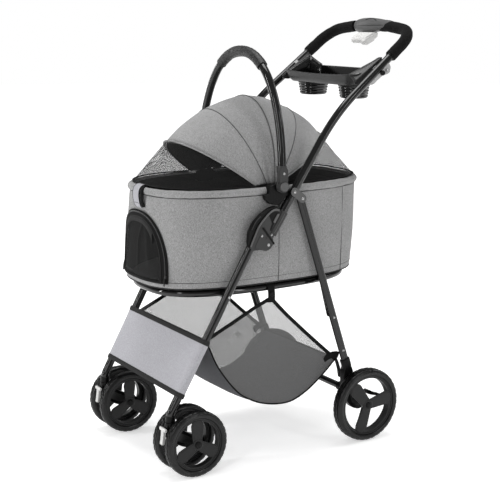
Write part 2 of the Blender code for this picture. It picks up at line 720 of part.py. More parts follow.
def carrier_shell():
    floor_z = CARRIER_BOTTOM[3] + CARRIER_WALL
    loops = [plan_loop(*CARRIER_BOTTOM, count=44), wall_loop(CARRIER_LOW[3], 0), wall_loop(CARRIER_TOP[3], 0),
             wall_loop(CARRIER_TOP[3], CARRIER_WALL), wall_loop(CARRIER_LOW[3], CARRIER_WALL),
             plan_loop(CARRIER_BOTTOM[0] - CARRIER_WALL, CARRIER_BOTTOM[1] - CARRIER_WALL, CARRIER_BOTTOM[2],
                       floor_z, 44)]
    shell = place("carrier_shell", loft(loops), grey_fabric())
    low, high = DOORWAY_Z
    outline = [(DOORWAY_HALF * i / 12, arch_top(DOORWAY_HALF * i / 12, DOORWAY_HALF, low, high))
               for i in range(-12, 13)]
    cut(shell, loft([[Vector((x, y, z)) for x, z in outline] for y in (-0.400, -0.290)]))


def carrier_rim():
    path = plan_loop(*RIM_ROLL, count=40)
    place("carrier_rim", sweep(path, circle(RIM_ROLL_R, 8), closed=True), grey_fabric())


def floor_cushion():
    z0 = CARRIER_BOTTOM[3] + CARRIER_WALL + 0.0005
    inset = CARRIER_WALL + 0.0045
    half_x, half_y, centre_y = CARRIER_LOW[:3]
    loops = [plan_loop(half_x - inset - 0.008, half_y - inset - 0.008, centre_y, z0, 32),
             plan_loop(half_x - inset, half_y - inset, centre_y, z0 + 0.010, 32),
             plan_loop(half_x - inset, half_y - inset, centre_y, z0 + 0.018, 32),
             plan_loop(half_x - inset - 0.010, half_y - inset - 0.010, centre_y, z0 + 0.026, 32)]
    place("floor_cushion", loft(loops), material("cushion_fabric", (0.20, 0.20, 0.20), 0.95))


def side_hub(name, side):
    place("side_hub_" + name, plate(SIDE_HUB_OUTLINE, *SIDE_HUB_X, side), plastic())


def bail_point(angle):
    """Point on the carry handle's arch; angle 0 is the left foot and pi the right one."""
    c, s = math.cos(angle), math.sin(angle)
    return Vector((BAIL_HALF * math.copysign(abs(c) ** (2 / BAIL_N), c), HUB[0],
                   HUB[1] + BAIL_HEIGHT * abs(s) ** (2 / BAIL_N)))


def carry_handle():
    """Arch with eyes and discs at its feet, a push button in each disc and a sleeve on top."""
    foot = math.asin(((BAIL_FOOT_Z - HUB[1]) / BAIL_HEIGHT) ** (BAIL_N / 2))
    path = [bail_point(foot + (math.pi - 2 * foot) * i / 28) for i in range(29)]
    handle = place("carry_handle", sweep(path, circle(TUBE_R, 10)), steel())
    for name, side in SIDES:
        eye = capsule(HUB, (HUB[0], HUB[1] + 0.048), 0.0190, 0.0085, 8)
        unite(handle, plate(eye, SIDE_HUB_X[1] + 0.0004, 0.1930, side))
        unite(handle, across(HUB, *BAIL_DISC_X, BAIL_DISC_R, side, 20))
        cut(handle, across(HUB, 0.1872, 0.2050, BAIL_BUTTON_R + 0.0007, side, 20))
        place("handle_button_" + name, across(HUB, *BAIL_BUTTON_X, BAIL_BUTTON_R, side, 20), light_plastic())
    grip = [point for point in path if abs(point.x) < GRIP_HALF]
    outer, inner = GRIP_RADII
    place("carry_grip", sleeve(grip, circle(outer, 10), circle(inner, 10)),
          material("grip_leather", (0.02, 0.02, 0.02), 0.6))


def bow_arch(bow, inset=0.0, count=15):
    """Arch of one canopy bow, in the plane that fans out from a line across the carrier."""
    angle, reach, pivot_y, half, power = bow
    half -= inset
    reach -= inset
    start = math.asin((CANOPY_INNER_REACH / reach) ** (power / 2))
    fan = math.radians(angle)
    points = []
    for i in range(count):
        turn = start + (math.pi - 2 * start) * i / (count - 1)
        c, s = math.cos(turn), math.sin(turn)
        out = reach * abs(s) ** (2 / power)
        points.append(Vector((half * math.copysign(abs(c) ** (2 / power), c),
                              pivot_y - out * math.cos(fan), HUB[1] + out * math.sin(fan))))
    return points


def canopy():
    """Fabric stretched from bow to bow, as one thin closed solid, and the wire of the front bow."""
    sections = []
    for bow in CANOPY_BOWS:
        section = bow_arch(bow) + bow_arch(bow, CANOPY_SKIN)[::-1]
        if sections:
            sections.append([(a + b) / 2 for a, b in zip(sections[-1], section)])
        sections.append(section)
    place("canopy", loft(sections), grey_fabric())
    place("canopy_bow", sweep(bow_arch(CANOPY_BOWS[1], BOW_INSET, 19), circle(BOW_R, 6)), steel())


def arch_top(x, half, low, high):
    """Height of the door's or doorway's arched outline at a distance from its middle."""
    return low + (high - low) * max(1 - (abs(x) / half) ** DOOR_N, 0) ** (1 / DOOR_N)


def front_door():
    """Curved mesh panel that closes the doorway and drops forward about its lower edge."""
    columns = 21
    rows = 4
    grids = []
    for offset in DOOR_OFFSETS:
        grid = []
        for row in range(rows):
            line = []
            for column in range(columns):
                x = DOOR_HALF * (2 * column / (columns - 1) - 1)
                top = arch_top(x, DOOR_HALF * 1.02, *DOOR_Z)
                z = DOOR_Z[0] + (top - DOOR_Z[0]) * row / (rows - 1)
                half_x, half_y, centre_y = carrier_level(z)
                depth = (1 - (abs(x) / (half_x + offset)) ** CARRIER_N) ** (1 / CARRIER_N)
                line.append(Vector((x, centre_y - (half_y + offset) * depth - offset * 0.35, z)))
            grid.append(line)
        grids.append(grid)
    loops = []
    for near, far in zip(*grids):
        loops.append(near + far[::-1])
    place("front_door", loft(loops), black_mesh())


def front_strap():
    """Webbing loop on the front of the rim, used to pull the canopy zip against."""
    section = [(-0.0125, -0.001), (0.0125, -0.001), (0.0125, 0.001), (-0.0125, 0.001)]
    place("front_strap", sweep([Vector((0, y, z)) for y, z in STRAP_LINE], section),
          material("webbing", (0.38, 0.38, 0.38), 0.85))


# ---------------------------------------------------------------- assembly
def main():
    clear_scene()
    root = bpy.data.objects.new("stroller", None)
    bpy.context.scene.collection.objects.link(root)
    root.location = (0, DATUM_Y, 0)
    ROOT.append(root)
    base_ring()
    front_crossbar()
    front_panel()
    storage_basket()
    handle_tube()
    grip_cover()
    parent_tray()
    rear_crossbar()
    for name, side in SIDES:
        front_leg(name, side)
        fold_bracket(name, side)
        fold_latch(name, side)
        foam_grip(name, side)
        tray_clamp(name, side)
        gusset(name, side)
        rear_leg(name, side)
        wheel_bracket(name, side)
        link(name, side)
        brake_pedal(name, side)
        wheel("rear_" + name, side * REAR_WHEEL_X, REAR_AXLE, REAR_WHEEL_R, REAR_TYRE_HALF)
        caster(name, side)
        side_hub(name, side)
    carrier_shell()
    carrier_rim()
    floor_cushion()
    carry_handle()
    canopy()
    front_door()
    front_strap()


main()
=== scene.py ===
"""Looks of the pet stroller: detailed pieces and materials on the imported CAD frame.

All shapes are written in the side drawing's own coordinates (y from a datum near the middle of the
wheelbase) and shifted by SHIFT into the frame. Pieces in pairs are made by loops over SIDES.
"""
import math

import bmesh
import bpy
from mathutils import Matrix, Vector, noise


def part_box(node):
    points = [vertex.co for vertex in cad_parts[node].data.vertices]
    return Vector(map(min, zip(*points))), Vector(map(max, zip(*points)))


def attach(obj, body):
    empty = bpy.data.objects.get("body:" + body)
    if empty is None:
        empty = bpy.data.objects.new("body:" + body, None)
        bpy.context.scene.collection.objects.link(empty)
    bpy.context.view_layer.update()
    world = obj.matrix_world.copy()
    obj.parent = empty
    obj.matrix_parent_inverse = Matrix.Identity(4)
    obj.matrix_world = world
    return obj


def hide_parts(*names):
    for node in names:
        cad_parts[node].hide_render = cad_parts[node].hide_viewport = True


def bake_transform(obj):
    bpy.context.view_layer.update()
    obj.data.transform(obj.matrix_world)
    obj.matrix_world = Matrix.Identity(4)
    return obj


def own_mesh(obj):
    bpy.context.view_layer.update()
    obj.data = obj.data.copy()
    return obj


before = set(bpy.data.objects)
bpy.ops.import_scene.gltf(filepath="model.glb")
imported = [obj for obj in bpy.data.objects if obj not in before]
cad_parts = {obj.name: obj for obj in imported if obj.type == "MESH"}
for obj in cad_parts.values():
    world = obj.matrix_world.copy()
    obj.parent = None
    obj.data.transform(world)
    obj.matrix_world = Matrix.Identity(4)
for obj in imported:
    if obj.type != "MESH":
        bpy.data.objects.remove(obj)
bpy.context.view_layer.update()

REAR_AXLE = (0.145, 0.089)
SHIFT = sum(corner[1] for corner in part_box("tyre_rear_left")) / 2 - REAR_AXLE[0]
SIDES = (("left", 1), ("right", -1))

TUBE_R = 0.0095
FOLD_PIVOT = (-0.126, 0.507)
REAR_PIVOT = (-0.032, 0.604)
RING_FRONT_PIVOT = (-0.223, 0.396)
RING_REAR_PIVOT = (0.043, 0.401)
LINK_PIVOT = (0.065, 0.317)
HUB = (-0.085, 0.635)
LEG_TOP = (-0.143, 0.54)
LEG_KNEE = (-0.367, 0.147)
CASTER_X = 0.171
LEG_X_TOP = 0.182
HANDLE_FOOT = (0.182, -0.1306, 0.5002)
HANDLE_BEND = (0.18, 0.064, 0.788)
HANDLE_CORNER = (0.166, 0.3, 0.973)
HANDLE_BAR = (0.306, 0.985)
REAR_KNEE = (0.107, 0.185)
REAR_CROSS = (0.104, 0.128)
REAR_TOP = (-0.034, 0.611)
REAR_X = 0.1815
FRONT_AXLE = (-0.318, 0.076)
TWIN_OFFSET = 0.0275
REAR_WHEEL_X = 0.21
FRONT_TYRE = (0.076, 0.012)
REAR_TYRE = (0.089, 0.0145)
CARRIER_N = 2.85
WALL_FOOT = (0.166, 0.2775, -0.081)
WALL_HEAD = (0.166, 0.2765, -0.0695)
WALL_FOOT_Z = 0.42
WALL_HEAD_Z = 0.6155


# ---------------------------------------------------------------- materials
class Look:
    """A Principled material and short calls that add its procedural nodes."""

    def __init__(self, name, colour, roughness, **values):
        self.material = bpy.data.materials.new(name)
        self.material.use_nodes = True
        self.tree = self.material.node_tree
        self.shader = self.tree.nodes["Principled BSDF"]
        self.shader.inputs["Base Color"].default_value = (*colour, 1)
        self.shader.inputs["Roughness"].default_value = roughness
        for key, value in values.items():
            self.shader.inputs[key.replace("_", " ")].default_value = value

    def node(self, kind, **values):
        made = self.tree.nodes.new("ShaderNode" + kind)
        for key, value in values.items():
            if key.startswith("in_"):
                made.inputs[key[3:].replace("_", " ")].default_value = value
            else:
                setattr(made, key, value)
        return made

    def link(self, source, target):
        self.tree.links.new(source, target)

    def coords(self, scale=(1, 1, 1), source="Object"):
        mapping = self.node("Mapping")
        mapping.inputs["Scale"].default_value = scale
        self.link(self.node("TexCoord").outputs[source], mapping.inputs["Vector"])
        return mapping.outputs["Vector"]

    def noise(self, scale, detail=2.0, stretch=(1, 1, 1)):
        made = self.node("TexNoise", in_Scale=scale, in_Detail=detail)
        self.link(self.coords(stretch), made.inputs["Vector"])
        return made.outputs["Fac"]

    def math(self, operation, a, b):
        made = self.node("Math", operation=operation)
        for socket, value in zip(made.inputs, (a, b)):
            if isinstance(value, (int, float)):
                socket.default_value = value
            else:
                self.link(value, socket)
        return made.outputs[0]

    def ramp(self, factor, low, high, start, stop):
        made = self.node("ValToRGB")
        made.color_ramp.elements[0].position = start
        made.color_ramp.elements[1].position = stop
        made.color_ramp.elements[0].color = (*low, 1)
        made.color_ramp.elements[1].color = (*high, 1)
        self.link(factor, made.inputs["Fac"])
        return made.outputs["Color"]

    def paint(self, factor, low, high, start=0.35, stop=0.65):
        """Base colour that runs from low to high with the factor."""
        self.link(self.ramp(factor, low, high, start, stop), self.shader.inputs["Base Color"])

    def vary_roughness(self, factor, low, high):
        made = self.node("MapRange")
        made.inputs["To Min"].default_value = low
        made.inputs["To Max"].default_value = high
        self.link(factor, made.inputs["Value"])
        self.link(made.outputs["Result"], self.shader.inputs["Roughness"])

    def bump(self, height, distance, strength):
        made = self.node("Bump", in_Distance=distance, in_Strength=strength)
        self.link(height, made.inputs["Height"])
        self.link(made.outputs["Normal"], self.shader.inputs["Normal"])


def shade(value, tint=(1, 1, 1)):
    return tuple(value * t for t in tint)


NET_PITCH = 0.0022
UPRIGHT = ((420, 420, 1500), (1500, 1500, 420))
LEVEL = ((1500, 600, 600), (600, 1500, 1500))


def melange(name, dark, light, tint=(1, 1, 1), sheen=0.08, threads=UPRIGHT):
    """Two-tone woven cloth: streaks of thread along and across, and slow cloudiness."""
    look = Look(name, shade((dark + light) / 2, tint), 0.92, Sheen_Weight=sheen, Specular_IOR_Level=0.15)
    weft = look.noise(1.0, 2.0, threads[0])
    warp = look.noise(1.0, 2.0, threads[1])
    thread = look.math("MULTIPLY", look.math("ADD", weft, warp), 0.5)
    slub = look.noise(1.0, 2.0, (760, 760, 300))
    cloud = look.noise(14.0, 3.0)
    mixed = look.math("ADD", look.math("MULTIPLY", thread, 0.64), look.math("MULTIPLY", slub, 0.31))
    mixed = look.math("ADD", mixed, look.math("MULTIPLY", cloud, 0.05))
    look.paint(mixed, shade(dark, tint), shade(light, tint), 0.39, 0.61)
    look.bump(thread, 0.0006, 0.55)
    return look.material


def netting(name, colour, hole):
    """Knitted net: rows of round holes laid out in the piece's own UV metres."""
    look = Look(name, shade(colour), 0.8, Specular_IOR_Level=0.1)
    cells = look.node("TexVoronoi", in_Scale=1 / NET_PITCH, in_Randomness=0.0)
    turned = look.node("Mapping")
    turned.inputs["Rotation"].default_value = (0, 0, math.radians(45))
    look.link(look.node("TexCoord").outputs["UV"], turned.inputs["Vector"])
    look.link(turned.outputs["Vector"], cells.inputs["Vector"])
    alpha = look.math("GREATER_THAN", cells.outputs["Distance"], hole)
    look.link(alpha, look.shader.inputs["Alpha"])
    look.paint(look.noise(1100.0, 2.0), shade(colour * 0.8), shade(colour * 1.25))
    return look.material


def painted(name, value, roughness, metallic=0.0):
    """Painted or plated steel: faint orange peel and handling marks in the gloss."""
    look = Look(name, shade(value), roughness, Metallic=metallic, Specular_IOR_Level=0.5
        if metallic else 0.4)
    marks = look.noise(35.0, 4.0)
    look.vary_roughness(marks, roughness * 0.75, roughness * 1.35)
    look.paint(marks, shade(value * 0.85), shade(value * 1.2))
    look.bump(look.noise(900.0, 1.0), 0.00006, 0.3)
    return look.material


def moulded(name, value, roughness=0.42, tint=(1, 1, 1), shine=0.25):
    """Injection-moulded plastic: spark-eroded grain, slightly uneven shine."""
    look = Look(name, shade(value, tint), roughness, Specular_IOR_Level=shine)
    look.vary_roughness(look.noise(40.0, 3.0), roughness * 0.85, roughness * 1.2)
    look.paint(look.noise(18.0, 4.0), shade(value * 0.9, tint), shade(value * 1.12, tint))
    look.bump(look.noise(1500.0, 2.0), 0.00012, 0.35)
    return look.material


def rubber(name, value, roughness):
    """Rubber with dust in its surface."""
    look = Look(name, shade(value), roughness, Specular_IOR_Level=0.3)
    dust = look.noise(60.0, 5.0)
    look.vary_roughness(dust, roughness * 0.8, roughness * 1.5)
    look.paint(dust, shade(value * 0.8), shade(value * 1.6), 0.4, 0.8)
    look.bump(look.noise(700.0, 2.0), 0.0001, 0.3)
    return look.material


def foamed(name, value):
    """Foam with open pores."""
    look = Look(name, shade(value), 0.95, Specular_IOR_Level=0.15)
    pores = look.node("TexVoronoi", in_Scale=1100.0)
    look.link(look.coords(), pores.inputs["Vector"])
    look.paint(look.noise(250.0, 3.0), shade(value * 0.7), shade(value * 1.5))
    look.bump(pores.outputs["Distance"], 0.0005, 0.6)
    return look.material


def leathered(name, value):
    """Grained leather."""
    look = Look(name, shade(value), 0.45, Specular_IOR_Level=0.3)
    grain = look.node("TexVoronoi", in_Scale=520.0)
    look.link(look.coords(), grain.inputs["Vector"])
    look.vary_roughness(look.noise(90.0, 3.0), 0.38, 0.6)
    look.paint(look.noise(120.0, 3.0), shade(value * 0.8), shade(value * 1.4))
    look.bump(grain.outputs["Distance"], 0.0004, 0.6)
    return look.material


def webbed(name, value, tint=(1, 1, 1)):
    """Woven tape: diagonal ribs about a millimetre and a half apart, from the piece's UV."""
    look = Look(name, shade(value, tint), 0.85, Specular_IOR_Level=0.15)
    ribs = look.node("TexWave", in_Scale=110.0, in_Distortion=1.5, in_Detail=1.0, wave_type="BANDS",
        bands_direction="DIAGONAL")
    look.link(look.coords((1, 1, 1), "UV"), ribs.inputs["Vector"])
    look.paint(ribs.outputs["Fac"], shade(value * 0.72, tint), shade(value * 1.18, tint), 0.2, 0.8)
    look.bump(ribs.outputs["Fac"], 0.0004, 0.6)
    return look.material


LILAC = (0.97, 0.965, 1.03)
BODY_CLOTH = melange("body_cloth", 0.125, 0.345)
PANEL_CLOTH = melange("panel_cloth", 0.27, 0.44, LILAC)
BASKET_CLOTH = melange("basket_cloth", 0.058, 0.112, (0.97, 0.98, 1.05), 0.0, LEVEL)
CUSHION_CLOTH = melange("cushion_cloth", 0.12, 0.24, threads=LEVEL)
LINING = melange("lining", 0.026, 0.066, (1, 1, 1), 0.0)
BLACK_NET = netting("black_net", 0.012, 0.375)
DOOR_NET = netting("door_net", 0.01, 0.24)
PALE_NET = netting("pale_net", 0.15, 0.315)
GLOSS = painted("gloss_black_paint", 0.004, 0.07)
SATIN = painted("satin_black_paint", 0.003, 0.2)
CHROME = painted("bright_rivet", 0.34, 0.26, 1.0)
DARK_PLASTIC = moulded("dark_plastic", 0.003, 0.34, shine=0.12)
GREY_PLASTIC = moulded("grey_plastic", 0.026, 0.42)
RIM_PLASTIC = moulded("rim_plastic", 0.008, 0.4)
TRAY_PLASTIC = moulded("tray_plastic", 0.024, 0.34)
TUB_PLASTIC = moulded("tub_plastic", 0.002, 0.12, shine=0.4)
COVER_PLASTIC = moulded("cover_plastic", 0.07, 0.36)
PALE_PLASTIC = moulded("pale_plastic", 0.55, 0.42, tint=(1, 0.995, 0.98))
CLAMP_PLASTIC = moulded("clamp_plastic", 0.3, 0.45)
BUTTON_PLASTIC = moulded("button_plastic", 0.08, 0.44)
RUBBER = rubber("tyre_rubber", 0.003, 0.26)
FOAM = foamed("foam", 0.004)
LEATHER = leathered("grip_leather", 0.007)
TAPE = webbed("edge_tape", 0.022)
BLACK_TAPE = webbed("black_tape", 0.005)
PALE_TAPE = webbed("pale_tape", 0.34, LILAC)
SEAM = melange("seam_thread", 0.035, 0.08)


# ---------------------------------------------------------------- sections and paths
def circle(radius, sides=28):
    return [(radius * math.cos(math.tau * i / sides), radius * math.sin(math.tau * i / sides))
        for i in range(sides)]


def power_curve(angle, half_u, half_v, power):
    c, s = math.cos(angle), math.sin(angle)
    return (half_u * math.copysign(abs(c) ** (2 / power), c), half_v * math.copysign(abs(s) ** (2 / power),
        s))


def oval(half_u, half_v, sides=28, power=2.6):
    return [power_curve(math.tau * i / sides, half_u, half_v, power) for i in range(sides)]


def flat(half_wide, half_thick, power=6.0):
    """Section of a strap: wide across the path's side vector, thin the other way."""
    return oval(half_wide, half_thick, 16, power)


def resampled(points, count, closed=False):
    """Points at even distances along a polyline."""
    points = [Vector(p) for p in points]
    if closed:
        points.append(points[0])
    marks = [0.0]
    for a, b in zip(points, points[1:]):
        marks.append(marks[-1] + (b - a).length)
    result = []
    k = 0
    for i in range(count):
        mark = marks[-1] * i / (count if closed else count - 1)
        while k < len(points) - 2 and marks[k + 1] < mark:
            k += 1
        span = marks[k + 1] - marks[k]
        result.append(points[k].lerp(points[k + 1], (mark - marks[k]) / span if span else 0))
    return result


def plan(half_x, half_y, centre_y, z, count=180, power=CARRIER_N):
    """Superellipse in plan, evenly spaced, from the middle of the left side."""
    dense = []
    for i in range(1440):
        x, y = power_curve(math.tau * i / 1440, half_x, half_y, power)
        dense.append((x, centre_y + y, z))
    return resampled(dense, count, closed=True)


def smooth_path(points, steps=8):
    """Catmull-Rom curve through the points."""
    points = [Vector(p) for p in points]
    padded = [points[0] * 2 - points[1]] + points + [points[-1] * 2 - points[-2]]
    path = []
    for a, b, c, d in zip(padded, padded[1:], padded[2:], padded[3:]):
        for i in range(steps):
            t = i / steps
            path.append(0.5 * (2 * b + (c - a) * t + (2 * a - 5 * b + 4 * c - d) * t * t
                + (3 * b - a - 3 * c + d) * t ** 3))
    path.append(points[-1])
    return path


def rounded(points, radii, steps=12):
    """Polyline whose inner corners are arcs; radii holds one radius for each inner corner."""
    points = [Vector(p) for p in points]
    path = [points[0]]
    for before, corner, after, radius in zip(points, points[1:], points[2:], radii):
        back = (before - corner).normalized()
        ahead = (after - corner).normalized()
        half_turn = (math.pi - back.angle(ahead)) / 2
        reach = radius * math.tan(half_turn)
        centre = corner + (back + ahead).normalized() * (radius / math.cos(half_turn))
        start = corner + back * reach - centre
        axis = start.cross(corner + ahead * reach - centre).normalized()
        for i in range(steps + 1):
            path.append(centre + Matrix.Rotation(2 * half_turn * i / steps, 3, axis) @ start)
    path.append(points[-1])
    return path


def part_of(path, start, end):
    """Part of a polyline between two distances from its first point."""
    part = []
    travelled = 0.0
    for a, b in zip(path, path[1:]):
        length = (b - a).length
        for mark in (start, end):
            if travelled <= mark < travelled + length:
                part.append((mark, a.lerp(b, (mark - travelled) / length)))
        travelled += length
        if start + 0.0005 < travelled < end - 0.0005:
            part.append((travelled, b))
    return [point for _, point in sorted(part, key=lambda item: item[0])]


def leg_x(z):
    return CASTER_X + (LEG_X_TOP - CASTER_X) * (z - LEG_KNEE[1]) / (LEG_TOP[1] - LEG_KNEE[1])


def leg_y(z):
    return LEG_KNEE[0] + (LEG_TOP[0] - LEG_KNEE[0]) * (z - LEG_KNEE[1]) / (LEG_TOP[1] - LEG_KNEE[1])


# ---------------------------------------------------------------- mesh making
def skin(rows, wrap=False, joined=False, capped=False, bm=None):
    """Skins rows of points; wrap closes each row, joined closes the last row onto the first.

    Capped puts a face on the first and the last row. UVs are in metres: u along the rows and v across them.
    """
    bm = bm or bmesh.new()
    layer = bm.loops.layers.uv.verify()
    rings = [[bm.verts.new(point) for point in row] for row in rows]
    reach_v = [0.0]
    for above, below in zip(rings, rings[1:] + [rings[0]]):
        middle = len(above) // 2
        reach_v.append(reach_v[-1] + (above[middle].co - below[middle].co).length)
    widest = max(rings, key=lambda ring: sum((a.co - b.co).length for a, b in zip(ring, ring[1:])))
    reach_u = [0.0]
    for a, b in zip(widest, widest[1:] + [widest[0]]):
        reach_u.append(reach_u[-1] + (a.co - b.co).length)
    count = len(rings[0])
    for r in range(len(rings) if joined else len(rings) - 1):
        upper, lower = rings[r], rings[(r + 1) % len(rings)]
        for i in range(count if wrap else count - 1):
            j = (i + 1) % count
            face = bm.faces.new((upper[i], upper[j], lower[j], lower[i]))
            for loop, uv in zip(face.loops, ((i, r), (i + 1, r), (i + 1, r + 1), (i, r + 1))):
                loop[layer].uv = (reach_u[uv[0]], reach_v[uv[1]])
    if capped:
        bm.faces.new(rings[0])
        bm.faces.new(rings[-1])
    return bm


def rings_along(path, section, closed=False, side=None):
    """Section points carried along a path without twist."""
    rows = []
    count = len(path)
    for i, point in enumerate(path):
        if closed:
            tangent = (path[(i + 1) % count] - path[i - 1]).normalized()
        else:
            tangent = (path[min(i + 1, count - 1)] - path[max(i - 1, 0)]).normalized()
        if side is None:
            side = Vector((1, 0, 0)) if abs(tangent.x) < 0.9 else Vector((0, 1, 0))
        side = (side - tangent * side.dot(tangent)).normalized()
        up = tangent.cross(side)
        rows.append([point + (side * u + up * v) for u, v in section])
    return rows


def sweep(path, section, closed=False, side=None, bm=None):
    rows = rings_along([Vector(p) for p in path], section, closed, side)
    return skin(rows, wrap=True, joined=closed, capped=not closed, bm=bm)


def round_x(profile, centre, sides, shift=0.0, relief=None):
    """Rings of points, one for each (x, radius) of the profile, about a line along X through the centre."""
    rows = []
    for x, radius in profile:
        row = []
        for i in range(sides):
            angle = math.tau * i / sides
            reach = radius + (relief(x, radius, i) if relief else 0.0)
            row.append(Vector((x + shift, centre[0] + reach * math.cos(angle),
                centre[1] + reach * math.sin(angle))))
        rows.append(row)
    return rows


def turned(profile, centre, side=1, sides=48):
    """Profile of (x, radius) turned about a line along X; ends at radius 0 close by themselves."""
    return skin(round_x([(side * x, radius) for x, radius in profile], centre, sides), wrap=True)


def lathe(profile, low, high, sides=40):
    """Profile of (distance, radius) turned about the line from low to high."""
    low, high = Vector(low), Vector(high)
    run = (high - low).normalized()
    u = run.orthogonal().normalized()
    v = run.cross(u)
    rows = []
    for reach, radius in profile:
        rows.append([low + run * reach + (u * math.cos(math.tau * i / sides) + v
            * math.sin(math.tau * i / sides)) * radius for i in range(sides)])
    return skin(rows, wrap=True)


def plate(outline, x0, x1, side=1):
    """Side-view outline of (y, z) points, extruded along X, with flat ends."""
    return skin([[Vector((side * x, y, z)) for y, z in outline] for x in (x0, x1)], wrap=True, capped=True)


def capsule(a, b, radius_a, radius_b, steps=14):
    """Outline of two discs and the straight flanks between them."""
    angle = math.atan2(b[1] - a[1], b[0] - a[0])
    lean = math.acos((radius_a - radius_b) / math.dist(a, b))
    outline = []
    for centre, radius, start, end in ((a, radius_a, angle + lean, angle + math.tau - lean),
            (b, radius_b, angle - lean, angle + lean)):
        for i in range(steps + 1):
            turn = start + (end - start) * i / steps
            outline.append((centre[0] + radius * math.cos(turn), centre[1] + radius * math.sin(turn)))
    return outline


def soft_outline(points, steps=5, keep=0.5):
    """Closed outline with its corners cut round."""
    outline = []
    count = len(points)
    for i, corner in enumerate(points):
        before, after = Vector(points[i - 1]), Vector(points[(i + 1) % count])
        corner = Vector(corner)
        start, end = corner.lerp(before, keep * 0.5), corner.lerp(after, keep * 0.5)
        for k in range(steps + 1):
            t = k / steps
            outline.append(tuple(start * (1 - t) ** 2 + corner * 2 * t * (1 - t) + end * t * t))
    return outline


def new_object(name, bm):
    """New object from a mesh in side-drawing coordinates."""
    bmesh.ops.recalc_face_normals(bm, faces=bm.faces)
    bmesh.ops.translate(bm, verts=bm.verts, vec=(0, SHIFT, 0))
    mesh = bpy.data.meshes.new(name)
    bm.to_mesh(mesh)
    bm.free()
    obj = bpy.data.objects.new(name, mesh)
    bpy.context.scene.collection.objects.link(obj)
    return obj


def settle(obj):
    """Applies all modifiers of a piece to its mesh."""
    ready = obj.evaluated_get(bpy.context.evaluated_depsgraph_get())
    mesh = bpy.data.meshes.new_from_object(ready)
    obj.modifiers.clear()
    old = obj.data
    obj.data = mesh
    bpy.data.meshes.remove(old)


def piece(name, bm, look, body, stands_for=(), angle=38.0, bevel=0.0, solid=0.0, inner=None):
    """Finished piece with its look and edges, riding on a body of the frame."""
    obj = new_object(name, bm)
    mesh = obj.data
    mesh.shade_smooth()
    mesh.set_sharp_from_angle(angle=math.radians(angle))
    mesh.materials.append(look)
    if solid:
        wall = obj.modifiers.new("wall", "SOLIDIFY")
        wall.thickness = solid
        wall.offset = -1
        if inner:
            mesh.materials.append(inner)
            wall.material_offset = 1
            wall.material_offset_rim = 0
    if bevel:
        edge = obj.modifiers.new("edges", "BEVEL")
        edge.width = bevel
        edge.segments = 3
        edge.limit_method = "ANGLE"
        edge.angle_limit = math.radians(32)
        edge.harden_normals = True
    if stands_for:
        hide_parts(*stands_for)
    if body:
        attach(obj, body)
    return obj


def rivet(name, centre, x, side, body, radius=0.0024, height=0.0013):
    """Domed rivet head on a face that looks outwards along X."""
    dome = [(x - 0.0008, radius * 1.25), (x + 0.0003, radius * 1.25), (x + 0.0006, radius)]
    for k in range(1, 6):
        turn = math.pi / 2 * k / 5
        dome.append((x + 0.0006 + height * math.sin(turn), max(radius * math.cos(turn), 0.0001)))
    piece(name, turned(dome, centre, side, 24), CHROME, body)


def ripple(point, scale, amount):
    return amount * noise.noise(Vector(point) * scale)


# ---------------------------------------------------------------- frame tubes
RING_HOOP = (0.1495, 0.253, -0.083, 0.3985)


def front_frame():
    """Front legs with caster collars, the ring that carries the carrier, and the cross tube."""
    for name, side in SIDES:
        knee_x = side * leg_x(LEG_KNEE[1])
        path = rounded([(side * LEG_X_TOP, *LEG_TOP), (knee_x, *LEG_KNEE), (knee_x, LEG_KNEE[0], 0.128)],
            [0.03])
        piece("leg_tube_" + name, sweep(path, circle(TUBE_R)), GLOSS, "front_frame", ("front_leg_" + name,),
            bevel=0.0008)
        rivet("leg_rivet_" + name, RING_FRONT_PIVOT, leg_x(RING_FRONT_PIVOT[1]) + TUBE_R, side,
            "front_frame")
        collar = [(0.0, 0.01), (0.001, 0.0112), (0.013, 0.0114), (0.014, 0.0101), (0.014, 0.0096),
            (0.0, 0.0096)]
        low = (knee_x, LEG_KNEE[0], 0.128)
        piece("leg_collar_" + name, lathe(collar, low, (knee_x, LEG_KNEE[0], 0.2)), DARK_PLASTIC,
            "front_frame")
    ring = sweep(plan(*RING_HOOP, 200), circle(0.0085, 24), closed=True)
    for _, side in SIDES:
        reach = leg_x(RING_FRONT_PIVOT[1]) - TUBE_R
        sweep([(side * 0.14, *RING_FRONT_PIVOT), (side * reach, *RING_FRONT_PIVOT)], circle(0.0055, 20),
            bm=ring)
        sweep([(side * 0.14, *RING_REAR_PIVOT), (side * 0.1659, *RING_REAR_PIVOT)], circle(0.0055, 20),
            bm=ring)
    piece("ring_tube", ring, GLOSS, "front_frame", ("base_ring",))
    reach = leg_x(0.24) - TUBE_R
    bar = sweep([(-reach, leg_y(0.24), 0.24), (reach, leg_y(0.24), 0.24)], circle(0.008, 24))
    piece("front_bar", bar, GLOSS, "front_frame", ("front_crossbar",))


GUSSET_FRONT = (-0.0535, 0.6205)
LEVER_OUTLINE = ((0.301, 0.9695), (0.284, 0.9695), (0.262, 0.958), (0.259, 0.951), (0.262, 0.944),
    (0.268, 0.942), (0.301, 0.957))


def handle_half(side):
    """Centre line from the middle of the grip bar down to the tube's foot on one side."""
    x_foot, x_bend, x_corner = HANDLE_FOOT[0], HANDLE_BEND[0], HANDLE_CORNER[0]
    return rounded([(0, *HANDLE_BAR), (side * 0.06, *HANDLE_BAR), (side * x_corner, *HANDLE_CORNER[1:]),
        (side * x_bend, *HANDLE_BEND[1:]), (side * x_foot, *HANDLE_FOOT[1:])], [0.06, 0.055, 0.45])


